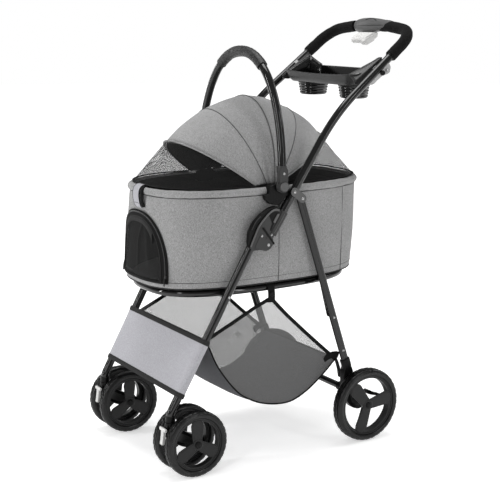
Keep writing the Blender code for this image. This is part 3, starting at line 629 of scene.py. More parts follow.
def lumpy(path, section, amount, scale):
    """Sweep whose surface waves gently, for foam, leather and wrapped tape."""
    rows = rings_along([Vector(p) for p in path], section)
    for row in rows:
        middle = sum(row, Vector()) / len(row)
        for k, point in enumerate(row):
            out = (point - middle).normalized()
            row[k] = point + out * ripple(point, scale, amount)
    return skin(rows, wrap=True, capped=True)


def pod_point(t, angle):
    """Surface of the teardrop cover: t runs from its blunt to its thin end, angle goes round the bar."""
    grow = 0.65 + 0.35 * (1 - abs(2 * t - 1) ** 5) ** 0.5
    above = 0.0162 + 0.0034 * math.sin(math.pi * min(t * 1.3, 1.0)) - 0.0016 * t ** 2
    below = 0.018 + 0.003 * math.sin(math.pi * min(t * 1.6, 1.0)) - 0.012 * t ** 2.2
    c, d = math.cos(angle), math.sin(angle)
    return Vector((-0.064 + 0.144 * t, HANDLE_BAR[0] + above * grow * c,
        HANDLE_BAR[1] + d * grow * (above if d > 0 else below)))


def handle_frame():
    """Upper tube with its foam grips, gussets, pod and release lever."""
    left, right = handle_half(1), handle_half(-1)
    piece("upper_tube", sweep(left[::-1] + right[1:], circle(TUBE_R)), GLOSS, "handle_frame",
        ("handle_tube",), bevel=0.0008)
    for name, side in SIDES:
        line = part_of(handle_half(side), 0.069 if side < 0 else 0.034, 0.242)
        line = resampled(line, 60)
        bm = lumpy(line, circle(0.0138, 32), 0.0005, 70.0)
        piece("foam_" + name, bm, FOAM, "handle_frame", ("foam_grip_" + name,), bevel=0.002)
        band = part_of(handle_half(side), 0.24, 0.245)
        piece("foam_ring_" + name, sweep(band, circle(0.0112, 32)), DARK_PLASTIC, "handle_frame",
            bevel=0.0006)
        bm = plate(capsule(GUSSET_FRONT, REAR_PIVOT, 0.01, 0.01), 0.1912, 0.1937, side)
        piece("joint_plate_" + name, bm, BUTTON_PLASTIC, "handle_frame", ("gusset_" + name,), bevel=0.0009)
        rivet("plate_rivet_front_" + name, GUSSET_FRONT, 0.1935, side, "handle_frame", 0.0028)
        rivet("plate_rivet_rear_" + name, REAR_PIVOT, 0.1935, side, "handle_frame", 0.0028)
    pod = [[pod_point(k / 40, math.tau * i / 48) for i in range(48)] for k in range(41)]
    piece("grip_pod", skin(pod, wrap=True, capped=True), COVER_PLASTIC, "handle_frame", ("grip_cover",),
        bevel=0.0006)
    parting = [pod_point(0.06 + 0.088 * k, math.radians(184 - 1.5 * k)) for k in range(10)]
    sewn("pod_parting", parting, 0.0006, DARK_PLASTIC, "handle_frame")
    # Dark line over the smooth cover where it creases: painted shade of the crease.
    crease = [pod_point(0.36 + 0.04 * k, math.radians(145 - 34 * math.sin(math.pi * (k + 1) / 9)))
        for k in range(8)]
    sewn("pod_crease_shade", crease, 0.0012, DARK_PLASTIC, "handle_frame")
    lever = plate(soft_outline(LEVER_OUTLINE, 5, 0.6), -0.028, 0.028)
    piece("release_lever", lever, PALE_PLASTIC, "release_button", ("release_button",), bevel=0.0022)
    end = plate(soft_outline([(y - 0.002, z - 0.0035) for y, z in LEVER_OUTLINE[2:6]] + [(0.29, 0.95),
        (0.286, 0.964)], 4, 0.4), 0.016, 0.0305)
    piece("lever_end", end, PALE_PLASTIC, "release_button", bevel=0.0014)
    for k in range(3):
        x = -0.0135 + 0.009 * k
        rib = sweep([(x, 0.263, 0.9585), (x, 0.28, 0.9672)], circle(0.0009, 8))
        piece("lever_rib_%d" % k, rib, PALE_PLASTIC, "release_button")


# ---------------------------------------------------------------- fold joint
HOUSING = ((-0.1735, 0.505), (-0.1712, 0.5117), (-0.1605, 0.5343), (-0.1498, 0.5548), (-0.1259, 0.5783),
    (-0.1091, 0.5871), (-0.096, 0.585), (-0.0925, 0.579), (-0.101, 0.564), (-0.116, 0.542), (-0.121, 0.533),
    (-0.113, 0.52), (-0.1115, 0.5075), (-0.12, 0.497), (-0.1316, 0.493), (-0.1473, 0.4975),
    (-0.1688, 0.4975))
HOUSING_SIDE = ((-0.175, 0.504), (-0.1765, 0.52), (-0.1748, 0.5389), (-0.164, 0.559), (-0.1425, 0.5785),
    (-0.12, 0.5905), (-0.101, 0.5935), (-0.096, 0.585), (-0.1259, 0.57), (-0.15, 0.544), (-0.168, 0.505))
WINDOW = ((-0.1262, 0.5765), (-0.1085, 0.5822), (-0.095, 0.5795), (-0.103, 0.565), (-0.112, 0.552),
    (-0.1195, 0.538), (-0.1225, 0.54), (-0.1165, 0.556))
TUBE_LEAN = Vector((0, HANDLE_BEND[1] - HANDLE_FOOT[1], HANDLE_BEND[2] - HANDLE_FOOT[2])).normalized()
TUBE_WIDE = Vector((0, TUBE_LEAN.z, -TUBE_LEAN.y))


def along_tube(centre, u, v):
    """Side-view point at u along and v across the upper tube's lower stretch."""
    point = Vector((0, *centre)) + TUBE_LEAN * u + TUBE_WIDE * v
    return (point.y, point.z)


def fold_joint(name, side):
    """Moulded housing on the front leg: ridge, window with the latch, slot, rivets and tube sleeve."""
    body = "front_frame"
    piece("fold_housing_" + name, plate(soft_outline(HOUSING, 4, 0.6), 0.1919, 0.1957, side), GREY_PLASTIC,
        body, ("fold_bracket_" + name,), bevel=0.0012)
    # Black plate along the housing's side: partly the side wall itself, partly painted shade on that side
    # of the housing.
    piece("fold_side_" + name, plate(soft_outline(HOUSING_SIDE, 4, 0.7), 0.1822, 0.193, side), DARK_PLASTIC,
        body, bevel=0.0018)
    lower = ((-0.164, 0.501), (-0.147, 0.532), (-0.139, 0.531), (-0.133, 0.52), (-0.126, 0.533),
        (-0.122, 0.532), (-0.1145, 0.519), (-0.113, 0.508), (-0.121, 0.4985), (-0.1316, 0.495),
        (-0.147, 0.499))
    piece("fold_boss_" + name, plate(soft_outline(lower, 4, 0.6), 0.1952, 0.1968, side), GREY_PLASTIC, body,
        bevel=0.001)
    # The ridge on the housing's front edge is real; its lighter button plastic is a painted highlight along
    # it.
    edge = [(side * 0.1958, y, z) for y, z in ((-0.1722, 0.507), (-0.1602, 0.5335), (-0.1492, 0.5535),
        (-0.1256, 0.5768), (-0.1091, 0.5856), (-0.0975, 0.5838))]
    piece("fold_ridge_" + name, sweep(smooth_path(edge, 6), oval(0.0019, 0.0021, 14, 2.0)), BUTTON_PLASTIC,
        body)
    # Thin lighter grey line on the black side plate: a painted highlight.
    glint = [(side * 0.1934, y, z) for y, z in ((-0.168, 0.545), (-0.158, 0.562), (-0.145, 0.573))]
    piece("fold_painted_glint_" + name, sweep(smooth_path(glint, 6), circle(0.001, 10)), GREY_PLASTIC, body)
    # Dark plate in the latch window: painted shade of the recess behind the latch.
    piece("window_painted_shade_" + name, plate(soft_outline(WINDOW, 4, 0.5), 0.195, 0.196, side), DARK_PLASTIC, body)
    latch = [along_tube((-0.106, 0.566), u, v) for u, v in ((-0.011, -0.003), (0.011, -0.003),
        (0.011, 0.003), (-0.011, 0.003))]
    piece("latch_bar_" + name, plate(soft_outline(latch, 3, 0.4), 0.1966, 0.1982, side), BUTTON_PLASTIC,
        "fold_latch_" + name, ("fold_latch_" + name,), bevel=0.0006)
    # Dark strip along the slot: painted shade of the groove.
    slot_outline = capsule((-0.14, 0.5465), (-0.1125, 0.509), 0.0023, 0.0023, 8)
    piece("housing_slot_shade_" + name, plate(slot_outline, 0.1964, 0.1976, side), DARK_PLASTIC, body, bevel=0.0004)
    rivet("fold_rivet_low_" + name, FOLD_PIVOT, 0.1968, side, body, 0.0028)
    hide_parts("fold_pin_" + name)
    rivet("fold_rivet_mid_" + name, (-0.1437, 0.529), 0.1966, side, body)
    rivet("fold_rivet_top_" + name, (-0.118, 0.529), 0.1966, side, body, 0.0021)
    start = Vector((side * 0.1822, HANDLE_FOOT[1], HANDLE_FOOT[2]))
    ends = [start + TUBE_LEAN * reach for reach in (0.034, 0.064, 0.093)]
    piece("tube_sleeve_" + name, sweep(ends, oval(0.0112, 0.0108, 40, 3.2)), GREY_PLASTIC, "handle_frame",
        bevel=0.0012)
    line = [start + TUBE_LEAN * reach + Vector((side * 0.0114, 0, 0)) for reach in (0.038, 0.089)]
    piece("sleeve_rib_" + name, sweep(line, circle(0.0009, 10)), BUTTON_PLASTIC, "handle_frame")


# ---------------------------------------------------------------- parent tray
def carve(obj, bm):
    """Cuts a shape in side-drawing coordinates out of a piece that has no other modifier."""
    tool = new_object("cutter", bm)
    cut = obj.modifiers.new("cut", "BOOLEAN")
    cut.operation = "DIFFERENCE"
    cut.solver = "EXACT"
    cut.object = tool
    settle(obj)
    mesh = tool.data
    bpy.data.objects.remove(tool, do_unlink=True)
    bpy.data.meshes.remove(mesh)
    obj.data.set_sharp_from_angle(angle=math.radians(38))


TRAY_RUN = (Vector((0, *HANDLE_CORNER[1:])) - Vector((0, *HANDLE_BEND[1:]))).normalized()
CUP_CENTRES = (0.085, 0.187)
CUP_BOTTOM_Z = 0.816


def rounded_rect(half_x, y0, y1, radius, steps=9):
    """Plan outline of a rectangle with round corners."""
    points = []
    for cx, cy, start in ((half_x - radius, y1 - radius, 0), (-half_x + radius, y1 - radius, 90),
            (-half_x + radius, y0 + radius, 180), (half_x - radius, y0 + radius, 270)):
        for i in range(steps + 1):
            angle = math.radians(start + 90 * i / steps)
            points.append((cx + radius * math.cos(angle), cy + radius * math.sin(angle)))
    return points


def tray_rim_z(x, y):
    """The front edge is low and dished, the rear edge is high."""
    back = min(max((y - 0.135) / 0.097, 0), 1)
    return 0.8712 + 0.0135 * back + 0.0045 * (abs(x) / 0.15) ** 2 * (1 - back)


def tray_loop(half, front, rear, radius, height, lift=0.0):
    """Line round the tray; height runs from 0 at its floor to 1 at its rim."""
    loop = []
    for x, y in resampled_flat(rounded_rect(half, front, rear, radius), 160):
        top = tray_rim_z(x, y)
        loop.append(Vector((x, y, 0.848 + (top - 0.848) * height + lift)))
    return loop


def resampled_flat(outline, count):
    return [(p.x, p.y) for p in resampled([(x, y, 0) for x, y in outline], count, closed=True)]


def parent_tray():
    outside = [tray_loop(0.12, 0.149, 0.216, 0.016, 0.0), tray_loop(0.128, 0.144, 0.222, 0.02, 0.03),
        tray_loop(0.136, 0.14, 0.226, 0.022, 0.22), tray_loop(0.144, 0.137, 0.229, 0.024, 0.6),
        tray_loop(0.1478, 0.1355, 0.231, 0.026, 0.93), tray_loop(0.15, 0.134, 0.2325, 0.027, 0.95),
        tray_loop(0.1502, 0.1338, 0.2327, 0.027, 1.0), tray_loop(0.1486, 0.1354, 0.2311, 0.026, 1.04)]
    inside = [tray_loop(0.1462, 0.1378, 0.2287, 0.024, 1.03), tray_loop(0.144, 0.1395, 0.2268, 0.023, 0.9),
        tray_loop(0.141, 0.1405, 0.226, 0.022, 0.55), tray_loop(0.134, 0.143, 0.223, 0.02, 0.22),
        tray_loop(0.118, 0.152, 0.214, 0.015, 0.0, 0.0028)]
    tray = piece("tray_shell", skin(outside + inside, wrap=True, capped=True), TRAY_PLASTIC, "handle_frame",
        ("parent_tray",))
    tray.data.materials.append(TUB_PLASTIC)
    for face in tray.data.polygons:
        inner = face.center.z > 0.8495 and face.normal.z > 0.3
        leans_in = (face.center.x * face.normal.x + (face.center.y - SHIFT - 0.183)
            * face.normal.y) < -0.002
        if inner or leans_in:
            face.material_index = 1
    for name, side in SIDES:
        centre = (side * CUP_CENTRES[0], CUP_CENTRES[1])
        well = [(0, 0.0001), (0, 0.0315), (0.06, 0.0372), (0.06, 0.0001)]
        carve(tray, lathe(well, (*centre, 0.8185), (*centre, 0.9), 48))
        cup = [(0.0, 0.0001), (0.0, 0.03), (0.0012, 0.0325)]
        for k in range(32):
            reach = 0.003 + 0.031 * k / 31
            cup.append((reach, 0.0334 + 0.005 * k / 31 + 0.0008 * max(math.sin(math.tau * k / 6.4), -0.4)))
        cup += [(0.0352, 0.0378), (0.0352, 0.0366), (0.033, 0.0362), (0.006, 0.0318), (0.003, 0.03),
            (0.0025, 0.0001)]
        bm = lathe(cup, (*centre, CUP_BOTTOM_Z), (*centre, 0.9), 64)
        piece("cup_well_" + name, bm, TUB_PLASTIC, "handle_frame")
        tray_wing(name, side)
        tray_clamp(name, side)


def tray_wing(name, side):
    """Broad slanted shoulder from the tray's front corner up along the tube, with a wall down inside."""
    near, far = ((0.126, 0.139, 0.874), (0.137, 0.212, 0.908)), ((0.154, 0.1385, 0.857),
        (0.154, 0.215, 0.913))
    rows = []
    for i in range(13):
        t = i / 12
        low, high = Vector(near[0]).lerp(Vector(near[1]), t), Vector(far[0]).lerp(Vector(far[1]), t)
        row = []
        for k in range(11):
            u = k / 10
            point = low.lerp(high, u) + Vector((0, 0, 0.0022 * math.sin(math.pi * u)))
            row.append(Vector((side * point.x, point.y, point.z)))
        rows.append(row)
    wing = piece("tray_wing_" + name, skin(rows), TRAY_PLASTIC, "handle_frame", solid=0.003, angle=50)
    wing.modifiers["wall"].offset = 0
    lower = ((0.139, 0.853), (0.158, 0.851), (0.226, 0.884), (0.2262, 0.906), (0.214, 0.9125),
        (0.139, 0.8575))
    piece("wing_side_" + name, plate(soft_outline(lower, 5, 0.5), 0.15, 0.1545, side), TRAY_PLASTIC,
        "handle_frame", bevel=0.0016)
    top = [Vector(near[0]).lerp(Vector(near[1]), k / 10) for k in range(11)]
    top += [Vector(near[1]).lerp(Vector((0.108, 0.229, 0.887)), k / 6) for k in range(1, 7)]
    rows = []
    for t in (0.0, 0.35, 0.7, 1.0):
        row = []
        for point in top:
            foot = Vector((point.x - 0.004, min(point.y, 0.224), 0.856))
            place = point.lerp(foot, t)
            row.append(Vector((side * place.x, place.y, place.z)))
        rows.append(row)
    piece("wing_wall_" + name, skin(rows), TUB_PLASTIC, "handle_frame", solid=0.002, angle=50)
    back = [(side * x, y, z) for x, y, z in ((0.108, 0.229, 0.887), (0.124, 0.2215, 0.8975),
        (0.137, 0.213, 0.9085), (0.146, 0.215, 0.9118), (0.153, 0.2155, 0.9128))]
    piece("wing_back_lip_" + name, sweep(smooth_path(back, 6), circle(0.0021, 14)), TRAY_PLASTIC,
        "handle_frame")


def tray_clamp(name, side):
    """Clamp under the slanted tube, with its screw and knob on the outer face."""
    outline = ((0.156, 0.86), (0.1777, 0.8775), (0.1968, 0.8925), (0.212, 0.9035), (0.219, 0.901),
        (0.2235, 0.892), (0.22, 0.879), (0.211, 0.8755), (0.2, 0.8735), (0.181, 0.86), (0.164, 0.853))
    piece("clamp_body_" + name, plate(soft_outline(outline, 5, 0.7), 0.1575, 0.18, side), CLAMP_PLASTIC,
        "handle_frame", ("tray_clamp_" + name,), bevel=0.0028)
    for tag, centre, radius, look in (("knob", (0.1975, 0.8795), 0.0052, DARK_PLASTIC),
            ("screw", (0.2105, 0.885), 0.003, CHROME)):
        head = [(0.179, radius * 1.15), (0.1842, radius * 1.15), (0.1848, radius), (0.1856, radius * 0.9),
            (0.1858, radius * 0.55), (0.185, radius * 0.45), (0.185, 0.0001)]
        piece("clamp_%s_%s" % (tag, name), turned(head, centre, side, 32), look, "handle_frame",
            bevel=0.0003)
    band = [(side * x, y, z) for x, y, z in ((0.16, 0.189, 0.8905), (0.17, 0.188, 0.8945),
        (0.18, 0.19, 0.8895))]
    piece("clamp_band_" + name, sweep(smooth_path(band, 6), flat(0.005, 0.0012), side=TRAY_RUN),
        CLAMP_PLASTIC, "handle_frame")


# ---------------------------------------------------------------- rear legs and wheels
FOOT_OUTLINE = ((0.095, 0.187), (0.1195, 0.187), (0.131, 0.128), (0.16, 0.104), (0.163, 0.088),
    (0.156, 0.074), (0.14, 0.07), (0.12, 0.078), (0.104, 0.098), (0.094, 0.13))
BRAKE_OUTLINE = ((0.1665, 0.114), (0.1665, 0.104), (0.185, 0.0975), (0.206, 0.093), (0.2085, 0.0975),
    (0.188, 0.1035), (0.174, 0.113))


def rear_path(side):
    """Centre line of a rear leg, from the top down to its foot."""
    foot = (0.119, 0.1)
    return rounded([(side * REAR_X, *point) for point in (REAR_TOP, REAR_KNEE, foot)], [0.04])


def grooved_oval():
    """Leg section: a flat oval with a shallow groove down the middle of both broad faces."""
    points = []
    for u, v in oval(0.0055, 0.0095, 64, 2.6):
        dip = 0.0011 * math.exp(-(v / 0.0011) ** 2)
        points.append((u - math.copysign(dip, u), v))
    return points


def rear_legs():
    """Rear legs with feet, axles and brake pedals, the links to the ring, and the cross tube."""
    for name, side in SIDES:
        piece("rear_tube_" + name, sweep(rear_path(side), grooved_oval()), SATIN, "rear_legs",
            ("rear_leg_" + name,), bevel=0.0005)
        for tag, z in (("upper", 0.31), ("lower", 0.225)):
            blend = (z - REAR_KNEE[1]) / (REAR_TOP[1] - REAR_KNEE[1])
            y = REAR_KNEE[0] + (REAR_TOP[0] - REAR_KNEE[0]) * blend
            rivet("rear_rivet_%s_%s" % (tag, name), (y, z), 0.1866, side, "rear_legs", 0.0024)
        foot = soft_outline(FOOT_OUTLINE, 5, 0.75)
        piece("foot_" + name, plate(foot, 0.1722, 0.1895, side), DARK_PLASTIC, "rear_legs",
            ("wheel_bracket_" + name,), bevel=0.0025)
        recess = soft_outline([(0.125, 0.118), (0.148, 0.102), (0.15, 0.083), (0.138, 0.079), (0.12, 0.09),
            (0.113, 0.11)], 5, 0.8)
        piece("foot_web_" + name, plate(recess, 0.189, 0.1903, side), GREY_PLASTIC, "rear_legs",
            bevel=0.0006)
        neck = part_of(rear_path(side), 0.43, 0.476)
        piece("leg_shoe_" + name, sweep(neck, oval(0.0082, 0.0122, 36, 3.0)), DARK_PLASTIC, "rear_legs",
            bevel=0.0014)
        rod = sweep([(side * 0.178, *REAR_AXLE), (side * 0.2225, *REAR_AXLE)], circle(0.004, 24))
        piece("rear_axle_" + name, rod, CHROME, "rear_legs")
        link = plate(capsule(RING_REAR_PIVOT, LINK_PIVOT, 0.0085, 0.0085), 0.1662, 0.1694, side)
        piece("link_" + name, link, SATIN, "ring_link_" + name, ("ring_link_" + name,), bevel=0.0009)
        rivet("link_rivet_" + name, RING_REAR_PIVOT, 0.1692, side, "ring_link_" + name)
        rivet("link_pin_" + name, LINK_PIVOT, 0.1692, side, "ring_link_" + name)
        pedal = soft_outline(BRAKE_OUTLINE, 4, 0.7)
        piece("brake_" + name, plate(pedal, 0.1735, 0.1885, side), DARK_PLASTIC, "brake_pedal_" + name,
            ("brake_pedal_" + name,), bevel=0.0016)
    bar = sweep([(-0.1735, *REAR_CROSS), (0.1735, *REAR_CROSS)], circle(0.008, 24))
    piece("rear_bar", bar, GLOSS, "rear_legs", ("rear_crossbar",))
    for name, side in SIDES:
        collar = sweep([(side * 0.156, *REAR_CROSS), (side * 0.1735, *REAR_CROSS)], circle(0.0104, 32))
        piece("bar_collar_" + name, collar, DARK_PLASTIC, "rear_legs", bevel=0.0012)


def tyre(name, body, x, centre, radius, half):
    """Ring of rubber with shoulder blocks and crown slots cut into its tread."""
    blocks = 34 if radius > 0.08 else 30
    sides = blocks * 6
    seat = radius - 0.015
    flank = ((0.7, seat), (0.9, seat + 0.0006), (1.0, seat + 0.003), (1.01, radius - 0.0092),
        (1.05, radius - 0.0088), (1.05, radius - 0.008), (1.0, radius - 0.0076), (0.985, radius - 0.006),
        (0.9, radius - 0.0032), (0.76, radius - 0.0012), (0.56, radius - 0.0003), (0.54, radius - 0.0024),
        (0.36, radius - 0.0024), (0.34, radius), (0.1, radius), (0.09, radius - 0.0016))
    profile = [(-px * half, r) for px, r in flank] + [(px * half, r) for px, r in reversed(flank)]

    def tread(px, r, i):
        shoulder = abs(px) > 0.55 * half and r > radius - 0.0075
        crown = abs(px) < 0.35 * half and r > radius - 0.0005
        phase = (i + (0 if px > 0 else 3)) % 6
        if shoulder and phase in (0, 1):
            return -0.0007
        if crown and phase == 3:
            return -0.0008
        return 0.0

    rows = round_x(profile, centre, sides, x, tread)
    piece("tyre_piece_" + name, skin(rows, wrap=True, joined=True), RUBBER, body, ("tyre_" + name,),
        angle=30)


def rim(name, body, x, centre, radius, half, outward, first):
    """Rim ring with a lip, three capsule paddles and a hub with a cap on the outer side."""
    seat = radius - 0.0152
    ring_half = half * 0.8
    ring = ((-ring_half, seat), (-ring_half - 0.0006, seat - 0.001), (-ring_half, seat - 0.0032),
        (-ring_half + 0.0016, seat - 0.004), (-ring_half + 0.0022, seat - 0.0075),
        (ring_half - 0.0022, seat - 0.0075), (ring_half - 0.0016, seat - 0.004), (ring_half, seat - 0.0032),
        (ring_half + 0.0006, seat - 0.001), (ring_half, seat))
    rows = round_x(ring, centre, 96, x)
    piece("rim_ring_" + name, skin(rows, wrap=True, joined=True), RIM_PLASTIC, body, ("rim_" + name,),
        angle=30)
    wide = 0.0172 if radius > 0.08 else 0.0158
    for k in range(3):
        angle = math.radians(first + 120 * k)
        run = Vector((math.cos(angle), math.sin(angle)))
        near = Vector(centre) + run * 0.006
        far = Vector(centre) + run * (seat - wide - 0.003)
        outline = capsule(tuple(near), tuple(far), wide * 0.72, wide, 18)
        face = x + outward * ring_half * 0.95
        bm = plate(outline, face - outward * 0.0035, face)
        piece("paddle_%s_%d" % (name, k), bm, RIM_PLASTIC, body, bevel=0.0014)
        inner = capsule(tuple(near + run * 0.01), tuple(far), wide * 0.55, wide * 0.78, 18)
        bm = plate(inner, face - outward * 0.001, face + outward * 0.0005)
        piece("paddle_face_%s_%d" % (name, k), bm, RIM_PLASTIC, body, bevel=0.0006)
        back = x - outward * ring_half * 0.55
        bm = plate(capsule(tuple(near), tuple(far + run * 0.01), 0.004, 0.0035, 10), back,
            back + outward * 0.006)
        piece("spoke_%s_%d" % (name, k), bm, RIM_PLASTIC, body, bevel=0.0008)
    hub_out = ring_half + 0.0008
    hub = [(-ring_half, 0.0046), (-ring_half, 0.009), (-ring_half * 0.5, 0.011), (ring_half * 0.7, 0.0135),
        (hub_out - 0.0006, 0.0132), (hub_out, 0.012), (hub_out, 0.0085), (hub_out - 0.0012, 0.008),
        (hub_out - 0.0012, 0.0046)]
    bm = turned([(x + outward * px, r) for px, r in hub], centre, 1, 48)
    piece("hub_" + name, bm, RIM_PLASTIC, body, bevel=0.0004)
    cap = [(hub_out - 0.0014, 0.0074), (hub_out + 0.0002, 0.0072), (hub_out + 0.0012, 0.0058),
        (hub_out + 0.0017, 0.003), (hub_out + 0.0018, 0.0001)]
    bm = turned([(x + outward * px, r) for px, r in cap], centre, 1, 36)
    piece("hub_cap_" + name, bm, DARK_PLASTIC, body)


def wheel(name, x, axle, tyre_size, outward, first):
    """Tyre and rim; first is the angle of the first paddle in degrees."""
    tyre(name, "wheel_" + name, x, axle, *tyre_size)
    rim(name, "wheel_" + name, x, axle, *tyre_size, outward, first)


def wheels():
    for name, side in SIDES:
        for twin, offset in (("outer", TWIN_OFFSET), ("inner", -TWIN_OFFSET)):
            outward = side if twin == "outer" else -side
            wheel("front_%s_%s" % (name, twin), side * (CASTER_X + offset), FRONT_AXLE, FRONT_TYRE, outward,
                90)
        wheel("rear_" + name, side * REAR_WHEEL_X, REAR_AXLE, REAR_TYRE, side, 10)
        casters(name, side)


def casters(name, side):
    """Swivel fork between the twin wheels, with its lock lever in front."""
    body = "caster_" + name
    x = side * CASTER_X
    fork = soft_outline(((-0.38, 0.1272), (-0.354, 0.1272), (-0.353, 0.112), (-0.324, 0.096),
        (-0.306, 0.086), (-0.303, 0.074), (-0.31, 0.064), (-0.324, 0.06), (-0.344, 0.068), (-0.37, 0.084),
        (-0.3805, 0.098)), 5, 0.7)
    piece("fork_" + name, plate(fork, x - 0.009, x + 0.009), DARK_PLASTIC, body, ("caster_body_" + name,),
        bevel=0.0028)
    web = soft_outline(((-0.372, 0.121), (-0.36, 0.121), (-0.359, 0.106), (-0.328, 0.09), (-0.312, 0.08),
        (-0.318, 0.07), (-0.342, 0.076), (-0.366, 0.09)), 5, 0.7)
    for tag, face in (("outer", side), ("inner", -side)):
        bm = plate(web, x + face * 0.0088, x + face * 0.01)
        piece("fork_web_%s_%s" % (tag, name), bm, GREY_PLASTIC, body, bevel=0.0006)
    cup = [(0.0, 0.0001), (0.0, 0.011), (0.001, 0.0124), (0.0085, 0.0124), (0.0095, 0.0112),
        (0.0095, 0.0001)]
    foot = (x, LEG_KNEE[0], 0.118)
    piece("swivel_cup_" + name, lathe(cup, foot, (x, LEG_KNEE[0], 0.2), 40), DARK_PLASTIC, body,
        bevel=0.0004)
    rod = sweep([(x - 0.037, *FRONT_AXLE), (x + 0.037, *FRONT_AXLE)], circle(0.004, 24))
    piece("front_axle_" + name, rod, CHROME, body)
    lock = "swivel_lock_" + name
    tongue = soft_outline(((-0.3812, 0.116), (-0.3812, 0.106), (-0.383, 0.086), (-0.386, 0.079),
        (-0.3922, 0.0785), (-0.39, 0.09), (-0.388, 0.106), (-0.3876, 0.116)), 4, 0.7)
    piece("lock_tongue_" + name, plate(tongue, x - 0.006, x + 0.006), PALE_PLASTIC, lock, (lock,),
        bevel=0.0014)
    bar = sweep([(x - 0.0135, -0.385, 0.113), (x - 0.006, -0.3852, 0.1135), (x + 0.006, -0.3852, 0.1135),
        (x + 0.0135, -0.385, 0.113)], oval(0.0038, 0.003, 20, 3.0), side=Vector((0, 0, 1)))
    piece("lock_bar_" + name, bar, PALE_PLASTIC, lock, bevel=0.0008)


# ---------------------------------------------------------------- carry handle and hubs
HUB_OUTLINE = ((-0.115, 0.64), (-0.115, 0.619), (-0.129, 0.6172), (-0.1262, 0.607), (-0.1152, 0.5975),
    (-0.0982, 0.5932), (-0.086, 0.5936), (-0.0714, 0.61), (-0.062, 0.615), (-0.062, 0.64))


BAIL_HALF = 0.186
BAIL_RISE = 0.295
BAIL_POWER = 2.15
BAIL_FOOT_RISE = 0.034


def bail_point(angle):
    """Arch of the carry handle: it leans back a little above the hubs."""
    c, s = math.cos(angle), math.sin(angle)
    rise = BAIL_RISE * abs(s) ** (2 / BAIL_POWER)
    x = BAIL_HALF * math.copysign(abs(c) ** (2 / BAIL_POWER), c)
    return Vector((x, HUB[0] + 0.03 * rise, HUB[1] + rise))


def carry_handle():
    """Arched handle with its sleeve, and the hubs and buttons it turns on."""
    foot = math.asin((BAIL_FOOT_RISE / BAIL_RISE) ** (BAIL_POWER / 2))
    path = resampled([bail_point(foot + (math.pi - 2 * foot) * i / 600) for i in range(601)], 140)
    piece("bail_tube", sweep(path, circle(TUBE_R)), GLOSS, "carry_handle", ("carry_handle",))
    top = [point for point in path if abs(point.x) < 0.094]
    bm = lumpy(resampled(top, 110), circle(0.0124, 40), 0.0007, 130.0)
    piece("leather_sleeve", bm, LEATHER, "carry_handle", ("carry_grip",), bevel=0.0012)
    below = [point + Vector((0, 0.0022, -0.0122)) for point in resampled(top, 40)]
    piece("sleeve_seam", sweep(below, circle(0.001, 10)), BLACK_TAPE, "carry_handle")
    for name, side in SIDES:
        ends = []
        for z in (0.6665, 0.672, 0.6815):
            point = min((p for p in path if p.x * side > 0), key=lambda p: abs(p.z - max(z, 0.669)))
            ends.append(Vector((point.x + side * 0.0008, HUB[0], z)))
        piece("bail_socket_" + name, sweep(ends, oval(0.0106, 0.0114, 40, 2.6)), GREY_PLASTIC,
            "carry_handle", bevel=0.0012)
        tongue = capsule((HUB[0], 0.65), (HUB[0], 0.669), 0.0113, 0.0114, 22)
        face = abs(ends[0].x) + 0.0106
        piece("bail_tongue_" + name, plate(tongue, 0.1842, face, side), GREY_PLASTIC, "carry_handle",
            bevel=0.0014)
        rivet("bail_rivet_" + name, (HUB[0], 0.665), face, side, "carry_handle")
        eye = capsule(HUB, (HUB[0], HUB[1] + 0.024), 0.014, 0.0112, 22)
        piece("bail_eye_" + name, plate(eye, 0.1837, 0.1905, side), GREY_PLASTIC, "carry_handle",
            bevel=0.0016)
        ring = turned([(0.19, 0.0112), (0.19, 0.0134), (0.196, 0.0136), (0.1968, 0.013), (0.1966, 0.0114),
            (0.19, 0.0112)], HUB, side, 56)
        bmesh.ops.remove_doubles(ring, verts=ring.verts, dist=1e-6)
        piece("bail_ring_" + name, ring, GREY_PLASTIC, "carry_handle", bevel=0.0004)
        button = [(0.1945, 0.0001), (0.1945, 0.0106), (0.199, 0.0105), (0.2002, 0.0098), (0.2006, 0.0084),
            (0.2003, 0.0062), (0.2001, 0.0001)]
        piece("push_button_" + name, turned(button, HUB, side, 48), BUTTON_PLASTIC, "handle_button_" + name,
            ("handle_button_" + name,), bevel=0.0004)
        hub = soft_outline(HUB_OUTLINE, 5, 0.7)
        piece("hub_box_" + name, plate(hub, 0.1714, 0.1832, side), DARK_PLASTIC, "carrier",
            ("side_hub_" + name,), bevel=0.0022)
        for k, y in enumerate((-0.1125, -0.1045, -0.0965)):
            rib = plate(soft_outline(((y, 0.6), (y + 0.0022, 0.6), (y + 0.0022, 0.628), (y, 0.628)), 3,
                0.5), 0.1828, 0.1834, side)
            piece("hub_rib_%s_%d" % (name, k), rib, DARK_PLASTIC, "carrier", bevel=0.0005)
        cover = plate(soft_outline(((-0.115, 0.606), (-0.064, 0.606), (-0.064, 0.637), (-0.115, 0.637)), 5,
            0.6), 0.152, 0.1735, side)
        piece("hub_saddle_" + name, cover, DARK_PLASTIC, "carrier", bevel=0.003)


# ---------------------------------------------------------------- fabric helpers
def wall(z):
    """Plan of the carrier's outer wall at a height: half width, half length, centre y."""
    blend = (z - WALL_FOOT_Z) / (WALL_HEAD_Z - WALL_FOOT_Z)
    return [a + (b - a) * blend for a, b in zip(WALL_FOOT, WALL_HEAD)]


def wall_front(x, z, out=0.0):
    """Point on the front of the carrier's wall, pushed out by a distance."""
    half_x, half_y, centre_y = wall(z)
    depth = (1 - min(abs(x) / (half_x + out), 1) ** CARRIER_N) ** (1 / CARRIER_N)
    return Vector((x, centre_y - (half_y + out) * depth, z))


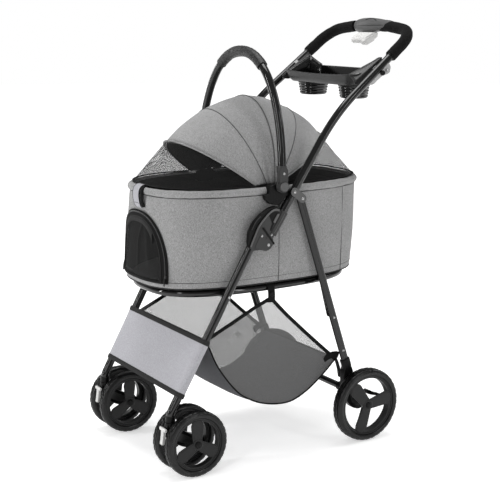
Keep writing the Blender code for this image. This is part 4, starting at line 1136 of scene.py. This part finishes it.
def sewn(name, path, radius, look, body, stretch=1.0, closed=False):
    """Seam, piping or wire along a line."""
    return piece(name, sweep(path, oval(radius * stretch, radius, 12, 2.0), closed), look, body)


def ribbon(rows, thickness, name, look, body):
    """Band of tape through parallel lines of points."""
    bm = skin([[Vector(p) for p in row] for row in rows])
    return piece(name, bm, look, body, solid=thickness, angle=80)


# ---------------------------------------------------------------- carrier
CARRIER_RISE = 0.1965
CLOTH_THICK = 0.0022


def carrier_row(z, inset, bulge):
    """Line round the wall at a height, which bulges and waves as stuffed cloth does."""
    half_x, half_y, centre_y = wall(z)
    row = []
    for point in plan(half_x - inset, half_y - inset, centre_y, z, 260):
        out = Vector((point.x / half_x ** 2, (point.y - centre_y) / half_y ** 2, 0)).normalized()
        flank = abs(out.x) ** 2
        wave = ripple(point, 9.0, 0.0018) + ripple(point, 34.0, 0.0006)
        row.append(point + out * (bulge * (0.0012 + 0.0016 * flank + wave)))
    return row


def carrier_shell():
    """Cloth wall and floor of the carrier, lined inside, with the doorway cut out."""
    outer = [plan(0.156, 0.2675, -0.081, 0.4085, 260), plan(0.161, 0.2725, -0.081, 0.4092, 260),
        plan(0.1645, 0.276, -0.081, 0.413, 260)]
    steps = 26
    for i in range(steps + 1):
        t = i / steps
        outer.append(carrier_row(WALL_FOOT_Z + CARRIER_RISE * t, 0.0, math.sin(math.pi * t) ** 0.6))
    inner = []
    for i in range(9):
        t = 1 - i / 8
        inner.append(carrier_row(WALL_FOOT_Z + CARRIER_RISE * t, CLOTH_THICK, math.sin(math.pi * t) ** 0.6))
    inner.append(plan(0.158, 0.269, -0.081, 0.411, 260))
    shell = piece("carrier_body", skin(outer + inner, wrap=True, capped=True), BODY_CLOTH, "carrier",
        ("carrier_shell",), angle=60)
    shell.data.materials.append(LINING)
    for face in shell.data.polygons:
        middle = face.center - Vector((0, SHIFT - 0.075, 0))
        if face.normal.x * middle.x + face.normal.y * middle.y < -0.0001 or face.center.z < 0.4115:
            face.material_index = 1
    outline = [(x, z) for x, z in arch_line(0.0165) if z > 0.4385]
    outline = [(outline[0][0], 0.4365)] + outline + [(outline[-1][0], 0.4365)]
    rows = [[Vector((x, y, z)) for x, z in outline] for y in (-0.42, -0.3)]
    carve(shell, skin(rows, wrap=True, capped=True))


DOOR = (0.106, 0.4235, 0.58)
DOOR_N = 2.6


def arch_top(x, half, low, high):
    """Height of the arched outline at a distance from its middle."""
    return low + (high - low) * max(1 - (abs(x) / half) ** DOOR_N, 0) ** (1 / DOOR_N)


def arch_line(inset, count=120):
    """Arched outline from the lower right corner over the top to the lower left one."""
    half, low, high = DOOR
    points = []
    for i in range(401):
        x, up = power_curve(math.pi * i / 400, half - inset, high - inset - low, DOOR_N)
        points.append((x, low + up, 0))
    return [(p.x, p.y) for p in resampled(points, count)]


def carrier_trim():
    """Rim roll, hems, piping and wall seams."""
    path = plan(0.1632, 0.2735, -0.069, 0.6247, 320)
    rows = rings_along(path, circle(0.0085, 24), closed=True)
    for row, middle in zip(rows, path):
        for k, point in enumerate(row):
            wave = ripple(point, 60.0, 0.0009) + ripple(point, 22.0, 0.001)
            row[k] = point + (point - middle).normalized() * wave
    piece("rim_roll", skin(rows, wrap=True, joined=True), BODY_CLOTH, "carrier", ("carrier_rim",))
    # Dark cord just under the rim roll, against the wall: painted shadow of the roll.
    sewn("rim_painted_shadow", plan(0.1655, 0.2755, -0.0695, 0.616, 260), 0.0016, LINING, "carrier",
        closed=True)
    sewn("rim_zip_line", plan(0.154, 0.26, -0.069, 0.6268, 260), 0.0016, BLACK_TAPE, "carrier", closed=True)
    sewn("hem_seam", plan(0.1664, 0.2782, -0.081, 0.4262, 260), 0.0006, SEAM, "carrier", closed=True)
    sewn("floor_piping", plan(0.164, 0.2755, -0.081, 0.4118, 260), 0.0016, TAPE, "carrier", closed=True)
    rows = [plan(0.1545, 0.261, -0.069, z, 260) for z in (0.626, 0.619, 0.612)]
    piece("rim_zip_tape", skin(rows, wrap=True), BLACK_TAPE, "carrier", solid=0.001)
    for name, side in SIDES:
        for tag, y in (("mid", -0.08), ("back", 0.112)):
            line = []
            for i in range(25):
                z = 0.412 + 0.203 * i / 24
                half_x, half_y, centre_y = wall(z)
                x = (half_x + 0.0026 * math.sin(math.pi * i / 24) ** 0.6) * (1
                    - (abs(y - centre_y) / half_y) ** CARRIER_N) ** (1 / CARRIER_N)
                line.append((side * (x + 0.0003), y, z))
            sewn("wall_seam_%s_%s" % (tag, name), line, 0.0007, SEAM, "carrier")


def door_fold(x, z):
    """Slack folds in the net: one runs down from the top near the middle, one down each side."""
    low, high = DOOR[1:]
    height = (z - low) / (high - low)
    line = 0.008 + 0.026 * max(height - 0.55, 0) / 0.45
    ridge = 0.0042 * math.exp(-((x - line) / 0.0045) ** 2) * (0.4 + 0.6 * height)
    side = 0.0026 * math.exp(-((x + 0.066 - 0.02 * height) / 0.007) ** 2)
    other = 0.002 * math.exp(-((x - 0.062 + 0.03 * height) / 0.008) ** 2)
    return (ridge + side + other) * math.sin(math.pi * min(max(height, 0.02), 0.98)) ** 0.4


def front_door():
    """Arched net window with a broad ribbed zip border, hung from its lower edge."""
    half, low, high = DOOR
    columns, rows = 90, 40
    net = []
    for r in range(rows + 1):
        line = []
        for c in range(columns + 1):
            x = (half - 0.006) * (2 * c / columns - 1)
            z = low + (arch_top(x, half - 0.004, low, high - 0.005) - low) * r / rows
            line.append(wall_front(x, z, 0.003 + door_fold(x, z)))
        net.append(line)
    door = piece("door_net", skin(net), DOOR_NET, "front_door", ("front_door",), angle=80)
    bands = []
    for k in range(9):
        height = 0.004 + (0.0009 if k in (1, 3, 6) else 0.0) + (0.0012 if k == 8 else 0.0)
        bands.append([wall_front(x, z, height) for x, z in arch_line(0.0022 * k)])
    ribbon(bands, 0.0014, "door_border", BLACK_TAPE, "front_door")
    for k, inset in enumerate((0.005, 0.015)):
        path = [wall_front(x, z, 0.0052) for x, z in arch_line(inset)]
        sewn("door_zip_%d" % k, path, 0.0009, TAPE if k else GREY_PLASTIC, "front_door", 1.6)
    band = []
    for inset, out in ((0.015, 0.005), (0.018, 0.0068), (0.024, 0.007), (0.0275, 0.0046)):
        line = [(x, z) for x, z in arch_line(inset, 160) if abs(x) < 0.066]
        band.append([wall_front(p.x, p.y, out) for p in resampled([(x, z, 0) for x, z in line], 60)])
    ribbon(band, 0.0014, "door_fold", TAPE, "front_door")
    hem = [[wall_front(-half + 2 * half * i / 60, z, out) for i in range(61)] for z,
        out in ((low, 0.0042), (low + 0.003, 0.0052), (low + 0.006, 0.0052), (low + 0.0075, 0.004))]
    ribbon(hem, 0.0012, "door_hem", BLACK_TAPE, "front_door")
    for tag, x in (("left", 0.103), ("right", -0.103)):
        top = wall_front(x, 0.442, 0.0062)
        end = wall_front(x, 0.429, 0.0085)
        sewn("zip_slider_" + tag, [top, top.lerp(end, 0.4)], 0.0024, GREY_PLASTIC, "front_door", 1.3)
        sewn("zip_pull_" + tag, [top.lerp(end, 0.3) - Vector((0, 0.001, 0)), end,
            end - Vector((0, 0.0005, 0.009))], 0.0013, DARK_PLASTIC, "front_door", 2.2)


def strap_loop():
    """Webbing loop sewn over the rim at the front, with a black edge and a zip pull beside it."""
    path = smooth_path([(0, -0.3485, 0.585), (0, -0.353, 0.591), (0, -0.356, 0.603), (0, -0.357, 0.617),
        (0, -0.354, 0.629), (0, -0.346, 0.636), (0, -0.336, 0.635), (0, -0.329, 0.627), (0, -0.328, 0.614)],
        8)
    band = sweep(path, flat(0.0142, 0.0011), side=Vector((1, 0, 0)))
    piece("strap_band", band, PALE_TAPE, "carrier", ("front_strap",))
    for tag, x in (("left", 0.0148), ("right", -0.0148)):
        edge = [Vector((x, p.y, p.z)) for p in path]
        sewn("strap_edge_" + tag, edge, 0.0012, BLACK_TAPE, "carrier")
    pull = smooth_path([(0.0185, -0.344, 0.635), (0.021, -0.352, 0.627), (0.0235, -0.3545, 0.613),
        (0.0225, -0.353, 0.6), (0.025, -0.351, 0.588)], 6)
    sewn("strap_pull", pull, 0.003, BLACK_TAPE, "carrier", 1.6)
    stitch = [(-0.0118, -0.3556, 0.596), (0.0118, -0.3556, 0.596)]
    sewn("strap_stitch", stitch, 0.0007, SEAM, "carrier")


# ---------------------------------------------------------------- canopy
BOWS = ((0.5, 0.2065, -0.131, 0.158, 2.57), (36.0, 0.16, -0.131, 0.151, 2.0),
    (67.8, 0.177, -0.099, 0.147, 2.0), (94.8, 0.193, -0.085, 0.156, 2.0),
    (127.4, 0.203, -0.085, 0.157, 2.0), (155.0, 0.232, -0.085, 0.157, 2.0),
    (179.5, 0.283, -0.085, 0.158, 3.15))
INNER_REACH = 0.003


def bow_arch(bow, inset=0.0, count=121):
    """Arch of one canopy bow, in the plane that fans out from a line across the carrier."""
    angle, reach, pivot_y, half, power = bow
    half -= inset
    reach -= inset
    start = math.asin((INNER_REACH / reach) ** (power / 2))
    fan = math.radians(angle)
    points = []
    for i in range(count):
        turn = start + (math.pi - 2 * start) * i / (count - 1)
        x, out = power_curve(turn, half, reach, power)
        points.append(Vector((x, pivot_y - out * math.cos(fan), HUB[1] + out * math.sin(fan))))
    return points


def canopy_panel(first, last, steps, sag):
    """Rows of points from bow to bow; the cloth swells a little between them and pleats near the hubs."""
    rows = []
    for k in range(first, last):
        upper, lower = bow_arch(BOWS[k]), bow_arch(BOWS[k + 1])
        for s in range(steps + (1 if k == last - 1 else 0)):
            t = s / steps
            row = []
            for i, (a, b) in enumerate(zip(upper, lower)):
                around = i / (len(upper) - 1)
                middle = Vector((0, HUB[0], HUB[1]))
                point = a.lerp(b, t)
                inward = (middle - point).normalized()
                crest = math.sin(math.pi * around) ** 0.7
                dip = sag * math.sin(math.pi * t) * crest
                near_hub = math.exp(-((min(around, 1 - around)) / 0.16) ** 2)
                pleat = 0.0022 * near_hub * math.sin(math.tau * 2 * t + k) * math.sin(math.pi * t)
                wave = ripple(point, 16.0, 0.0022) * math.sin(math.pi * t)
                row.append(point + inward * (dip + pleat + wave))
            rows.append(row)
    return rows


def canopy_piece(name, first, last, look, steps, sag, stands_for=(), inner=None):
    return piece(name, skin(canopy_panel(first, last, steps, sag)), look, None, stands_for, angle=80,
        solid=0.0009 if inner else 0.0, inner=inner)


def gather(obj):
    """Gives a front net piece its own copy of its mesh."""
    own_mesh(obj)


def canopy():
    """Cloth and net over the bows; the front net with its edge, and the front bow's wire and binding, ride
    on the front bow.
    """
    front_apex = bow_arch(BOWS[1])[60] + Vector((0, SHIFT, 0))
    back_apex = bow_arch(BOWS[3])[60] + Vector((0, SHIFT, 0))
    net = canopy_piece("canopy_net_front", 0, 1, BLACK_NET, 12, 0.0)
    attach(net, "canopy_bow")
    gather(net)
    front = canopy_piece("canopy_cloth_front", 1, 3, BODY_CLOTH, 10, -0.0035, inner=LINING)
    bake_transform(front)
    back = canopy_piece("canopy_cloth_back", 3, 5, BODY_CLOTH, 10, -0.0065, ("canopy",), inner=LINING)
    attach(back, "carrier")
    rear = canopy_piece("canopy_net_rear", 5, 6, BLACK_NET, 12, 0.0)
    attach(rear, "carrier")
    wire = sweep(bow_arch(BOWS[1], 0.0045), circle(0.0022, 16))
    piece("front_bow_wire", wire, GLOSS, "canopy_bow", ("canopy_bow",))
    sewn("front_bow_binding", bow_arch(BOWS[1], -0.0002), 0.0016, BODY_CLOTH, "canopy_bow", 2.6)
    for k, body in ((2, None), (3, "carrier"), (4, "carrier")):
        line = [p + (p - Vector((p.x * 0.3, HUB[0], HUB[1]))).normalized() * 0.0004
            for p in bow_arch(BOWS[k])]
        seam = piece("canopy_seam_%d" % k, sweep(line, circle(0.0008, 10)), SEAM, body)
        if body is None:
            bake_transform(seam)
    for k in (4, 5):
        piece("canopy_hoop_%d" % k, sweep(bow_arch(BOWS[k], 0.0045), circle(0.002, 14)), GLOSS, "carrier")
    sewn("rear_bow_binding", bow_arch(BOWS[5], -0.0002), 0.0014, BODY_CLOTH, "carrier", 2.6)
    edge = sewn("front_net_edge", bow_arch(BOWS[0], -0.0005), 0.0016, BLACK_TAPE, "canopy_bow", 2.0)
    gather(edge)
    sewn("rear_net_edge", bow_arch(BOWS[6], -0.0005), 0.0016, BLACK_TAPE, "carrier", 2.0)


# ---------------------------------------------------------------- cushion
PAD_VOXEL = 0.006
PAD_PRESSURE = 4.0
PAD_FRAMES = 15
PAD_MOST_MOVE = 0.005
QUILT_PITCH = (0.085, 0.092)


def floor_cushion():
    """Quilted pad on the carrier's floor, puffed by a short cloth simulation."""
    rows = []
    for inset, z in ((0.024, 0.414), (0.012, 0.417), (0.0085, 0.424), (0.012, 0.429), (0.026, 0.4305)):
        rows.append(plan(WALL_FOOT[0] - inset, WALL_FOOT[1] - inset, WALL_FOOT[2], z, 96))
    pad = piece("cushion", skin(rows, wrap=True, capped=True), CUSHION_CLOTH, "carrier", ("floor_cushion",),
        angle=80)
    voxels = pad.modifiers.new("voxels", "REMESH")
    voxels.mode = "VOXEL"
    voxels.voxel_size = PAD_VOXEL
    voxels.use_smooth_shade = True
    settle(pad)
    start = [vertex.co.copy() for vertex in pad.data.vertices]
    cloth = pad.modifiers.new("cloth", "CLOTH")
    cloth.settings.use_pressure = True
    cloth.settings.uniform_pressure_force = PAD_PRESSURE
    cloth.settings.effector_weights.gravity = 0.0
    cloth.settings.quality = 5
    for number in range(1, PAD_FRAMES + 1):
        bpy.context.scene.frame_set(number)
    settle(pad)
    bpy.context.scene.frame_set(1)
    for vertex, before in zip(pad.data.vertices, start):
        move = vertex.co - before
        if move.length > PAD_MOST_MOVE:
            move *= PAD_MOST_MOVE / move.length
        place = before + move
        x, y = place.x, place.y - SHIFT
        across = abs(math.sin(x * math.pi / QUILT_PITCH[0])) ** 0.35
        along = abs(math.sin((y + 0.081) * math.pi / QUILT_PITCH[1])) ** 0.35
        quilt = 0.0016 * (across * along - 1)
        top = max(0.0, min((place.z - 0.424) / 0.004, 1.0))
        vertex.co = Vector((place.x, place.y, max(place.z + quilt * top, 0.413)))
    pad.data.shade_smooth()
    smooth = pad.modifiers.new("smooth", "SUBSURF")
    smooth.levels = 1
    smooth.render_levels = 1


# ---------------------------------------------------------------- basket and front panel
TAPE_LINE = ((-0.274, 0.3), (-0.205, 0.331), (-0.15, 0.357), (-0.096, 0.379), (-0.05, 0.331), (0.0, 0.284),
    (0.045, 0.243), (0.09, 0.203))
SEAM_LINE = ((-0.266, 0.295), (-0.234, 0.226), (-0.187, 0.164), (-0.15, 0.137), (-0.113, 0.121),
    (-0.07, 0.1125), (-0.03, 0.1145), (0.015, 0.135), (0.06, 0.168), (0.093, 0.198))


BASKET_HALF = 0.1555
BASKET_SAG = 0.011


def hammock_drop(along, across):
    """Sag of the basket's floor: along runs from 0 at the front to 1, across from -1 to 1."""
    return BASKET_SAG * math.sin(math.pi * along) ** 0.7 * (1 - abs(across) ** 2.4)


def soft_fold(obj):
    """Gives a basket piece its own copy of its mesh."""
    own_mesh(obj)
    return obj


def basket():
    """Hammock of cloth between two side nets, with tapes, straps and hems."""
    count = 61
    seam = resampled(smooth_path([(0, y, z) for y, z in SEAM_LINE], 10), count)
    tape = resampled([(0, y, z) for y, z in TAPE_LINE], count)
    rows = []
    for k, point in enumerate(seam):
        row = []
        for c in range(41):
            s = 2 * c / 40 - 1
            drop = hammock_drop(k / (count - 1), s)
            wave = ripple((s * 0.15, point.y, point.z), 12.0, 0.0012) * (1 - s * s)
            row.append(Vector((BASKET_HALF * s, point.y, point.z - drop + wave)))
        rows.append(row)
    strip = piece("basket_hammock", skin(rows), BASKET_CLOTH, "front_frame", ("storage_basket",), angle=80,
        solid=0.0014)
    soft_fold(strip)
    for name, side in SIDES:
        rows = []
        for k in range(count):
            row = []
            for c in range(15):
                t = c / 14
                point = seam[k].lerp(tape[k], t)
                span = (tape[k] - seam[k]).length
                bulge = 0.0032 * math.sin(math.pi * t) * min(span / 0.1, 1.0)
                bulge += ripple(point, 18.0, 0.0016) * math.sin(math.pi * t)
                row.append(Vector((side * (BASKET_HALF + 0.005 * t + bulge), point.y, point.z)))
            rows.append(row)
        net = piece("basket_net_" + name, skin(rows), PALE_NET, "front_frame", angle=80)
        soft_fold(net)
        line = [(side * 0.1562, p.y, p.z) for p in seam]
        soft_fold(sewn("basket_piping_" + name, line, 0.0018, BLACK_TAPE, "front_frame"))
        upper = resampled([(side * 0.161, y, z) for y, z in TAPE_LINE], 90)
        lower = []
        for k, p in enumerate(upper):
            before, after = upper[max(k - 1, 0)], upper[min(k + 1, 89)]
            run = (after - before).normalized()
            down = Vector((0, run.z, -run.y))
            if down.z > 0:
                down = -down
            lower.append(p + down * 0.009 - Vector((side * 0.0006, 0, 0)))
        band = ribbon([[p + Vector((side * 0.0008, 0, 0)) for p in upper],
            [a.lerp(b, 0.5) + Vector((side * 0.0013, 0, 0)) for a, b in zip(upper, lower)],
            [p + Vector((side * 0.0008, 0, 0)) for p in lower]], 0.0014, "basket_tape_" + name, BLACK_TAPE,
            "front_frame")
        soft_fold(band)
        hang = smooth_path([(side * 0.162, -0.096, 0.364), (side * 0.1632, -0.096, 0.38),
            (side * 0.16, -0.096, 0.4), (side * 0.1495, -0.096, 0.408), (side * 0.1405, -0.096, 0.4),
            (side * 0.142, -0.096, 0.39)], 8)
        strap = sweep(hang, flat(0.0095, 0.001), side=Vector((0, 1, 0)))
        piece("ring_strap_" + name, strap, BLACK_TAPE, "front_frame")
        snap = [(0.164, 0.0001), (0.1642, 0.0056), (0.1652, 0.0058), (0.166, 0.005), (0.166, 0.003),
            (0.1655, 0.0001)]
        piece("strap_snap_" + name, turned(snap, (-0.096, 0.383), side, 28), DARK_PLASTIC, "front_frame")
        wrap = smooth_path([(side * 0.157, 0.056, 0.201), (side * 0.16, 0.07, 0.208),
            (side * 0.164, 0.086, 0.211), (side * 0.168, 0.093, 0.209)], 6)
        bm = lumpy(resampled(wrap, 24), oval(0.004, 0.0082, 20, 2.4), 0.0012, 90.0)
        soft_fold(piece("corner_wrap_" + name, bm, BLACK_TAPE, "front_frame", bevel=0.001))
        corner = smooth_path([(side * 0.156, 0.08, 0.208), (side * 0.159, 0.09, 0.2),
            (side * 0.16, 0.099, 0.175), (side * 0.16, 0.104, 0.15)], 8)
        wrap = sweep(corner, flat(0.0085, 0.0012), side=Vector((1, 0, 0)))
        soft_fold(piece("corner_strap_" + name, wrap, BLACK_TAPE, "front_frame"))
    for tag, k in (("front", 0), ("rear", count - 1)):
        row = [(0.156 * (2 * c / 30 - 1), seam[k].y, seam[k].z) for c in range(31)]
        soft_fold(sewn("basket_hem_" + tag, row, 0.002, BLACK_TAPE, "front_frame", 2.0))
    line = []
    for i in range(40):
        t = i / 39
        k = int((0.05 + 0.4 * t) * (count - 1))
        point = seam[k]
        s = -0.8 + 1.3 * t
        drop = hammock_drop(k / (count - 1), s)
        line.append(Vector((BASKET_HALF * s, point.y, point.z - drop + 0.0012)))
    soft_fold(sewn("hammock_seam", smooth_path(line[::4] + [line[-1]], 6), 0.0006, SEAM, "front_frame"))


def panel_loop(z, radius, slack=0.0):
    """Line round both front legs at a height measured down the legs' lean."""
    run = Vector((0, LEG_TOP[0] - LEG_KNEE[0], LEG_TOP[1] - LEG_KNEE[1])).normalized()
    ahead = run.cross(Vector((1, 0, 0)))
    loop = []
    for side in (1, -1):
        for i in range(17):
            angle = side * math.pi / 2 - side * math.pi * i / 16
            out = Vector((side * math.cos(angle), 0, 0)) + ahead * math.sin(angle)
            loop.append(Vector((side * leg_x(z), leg_y(z), z)) + out * radius)
    dense = resampled(loop, 220, closed=True)
    result = []
    for point in dense:
        t = abs(point.x) / leg_x(z)
        pull = slack * max(0.0, 1 - t ** 2)
        across = (point - Vector((0, leg_y(z), z))).dot(ahead)
        result.append(point - ahead * math.copysign(min(pull, abs(across) * 0.6), across))
    return result


def front_panel():
    """Sleeve of cloth stretched round both front legs, edged with tape."""
    low, high = 0.183, 0.303
    rows = []
    for i in range(17):
        t = i / 16
        z = low + (high - low) * t
        row = panel_loop(z, 0.0112, 0.0012 * math.sin(math.pi * t))
        rows.append([p + Vector((0, ripple(p, 14.0, 0.0006), 0)) for p in row])
    panel = piece("leg_panel", skin(rows, wrap=True), PANEL_CLOTH, "front_frame", ("front_panel",),
        angle=80, solid=0.0009)
    for tag, z0, z1 in (("low", 0.1815, 0.1915), ("high", 0.2935, 0.3035)):
        rows = [panel_loop(z0 + (z1 - z0) * i / 4, radius) for i, radius in enumerate((0.0114, 0.0124,
            0.0125, 0.0124, 0.0114))]
        piece("panel_tape_" + tag, skin(rows, wrap=True), TAPE, "front_frame", angle=60)


# ---------------------------------------------------------------- stage
FLOOR_RADIUS = 14.0
FLOOR_GAP = 0.0005
CAMERA_PLACE = (2.38, -1.525, 1.0238)
CAMERA_TARGET = (0, -0.0536, 0.4538)
CAMERA_LENS_MM = 84.9
SENSOR_MM = 36
LIGHTS = (("top_light", (-0.3, 0.1, 3.0), (1.6, 1.6), 52), ("key_light", (1.9, -3.0, 2.1), (0.55, 2.2), 30),
    ("side_light", (3.2, 1.0, 1.5), (0.25, 2.4), 18), ("left_light", (-0.9, -3.2, 1.3), (0.12, 2.6), 44),
    ("far_light", (-2.6, -0.8, 1.5), (0.3, 2.2), 14), ("back_light", (0.6, 3.0, 2.0), (1.4, 1.2), 20))
LIGHT_TARGET = (0, 0, 0.5)


def look_at(obj, place, target):
    bpy.context.scene.collection.objects.link(obj)
    obj.location = place
    obj.rotation_euler = (Vector(target) - Vector(place)).to_track_quat("-Z", "Y").to_euler()


def softbox(name, place, size, power):
    data = bpy.data.lights.new(name, "AREA")
    data.shape = "RECTANGLE"
    data.size, data.size_y = size
    data.energy = power
    look_at(bpy.data.objects.new(name, data), place, LIGHT_TARGET)


def stage():
    # The floor glows less next to the stroller and more far from it, so it fades into the white background:
    # painted light.
    floor = Look("pale_floor", (0.93, 0.93, 0.93), 0.6, Emission_Strength=0.5)
    floor.shader.inputs["Emission Color"].default_value = (1, 1, 1, 1)
    away = floor.node("VectorMath", operation="LENGTH")
    floor.link(floor.coords(), away.inputs[0])
    glow = floor.node("MapRange", in_From_Min=0.9, in_From_Max=3.4, in_To_Min=0.45, in_To_Max=0.92)
    floor.link(away.outputs["Value"], glow.inputs["Value"])
    floor.link(glow.outputs["Result"], floor.shader.inputs["Emission Strength"])
    floor.paint(floor.noise(1.2, 2.0), (0.9, 0.9, 0.9), (0.93, 0.93, 0.93))
    bm = bmesh.new()
    bmesh.ops.create_circle(bm, cap_ends=True, segments=96, radius=FLOOR_RADIUS)
    bmesh.ops.translate(bm, verts=bm.verts, vec=(0, -SHIFT, -FLOOR_GAP))
    disc = new_object("floor", bm)
    disc.data.materials.append(floor.material)
    world = bpy.data.worlds.new("studio")
    bpy.context.scene.world = world
    world.use_nodes = True
    tree = world.node_tree
    light = tree.nodes["Background"]
    light.inputs["Color"].default_value = (1, 1, 1, 1)
    light.inputs["Strength"].default_value = 0.38
    seen = tree.nodes.new("ShaderNodeBackground")
    seen.inputs["Color"].default_value = (1, 1, 1, 1)
    seen.inputs["Strength"].default_value = 1.0
    mix = tree.nodes.new("ShaderNodeMixShader")
    path = tree.nodes.new("ShaderNodeLightPath")
    tree.links.new(path.outputs["Is Camera Ray"], mix.inputs["Fac"])
    tree.links.new(light.outputs["Background"], mix.inputs[1])
    tree.links.new(seen.outputs["Background"], mix.inputs[2])
    tree.links.new(mix.outputs["Shader"], tree.nodes["World Output"].inputs["Surface"])
    for light in LIGHTS:
        softbox(*light)


def camera():
    data = bpy.data.cameras.new("camera")
    data.lens = CAMERA_LENS_MM
    data.sensor_width = SENSOR_MM
    obj = bpy.data.objects.new("camera", data)
    drawing = Vector((0, SHIFT, 0))
    look_at(obj, Vector(CAMERA_PLACE) + drawing, Vector(CAMERA_TARGET) + drawing)
    bpy.context.scene.camera = obj
    bpy.context.scene.view_settings.view_transform = "Standard"


front_frame()
handle_frame()
for name, side in SIDES:
    fold_joint(name, side)
parent_tray()
rear_legs()
wheels()
carry_handle()
carrier_shell()
carrier_trim()
front_door()
strap_loop()
canopy()
floor_cushion()
basket()
front_panel()
stage()
camera()
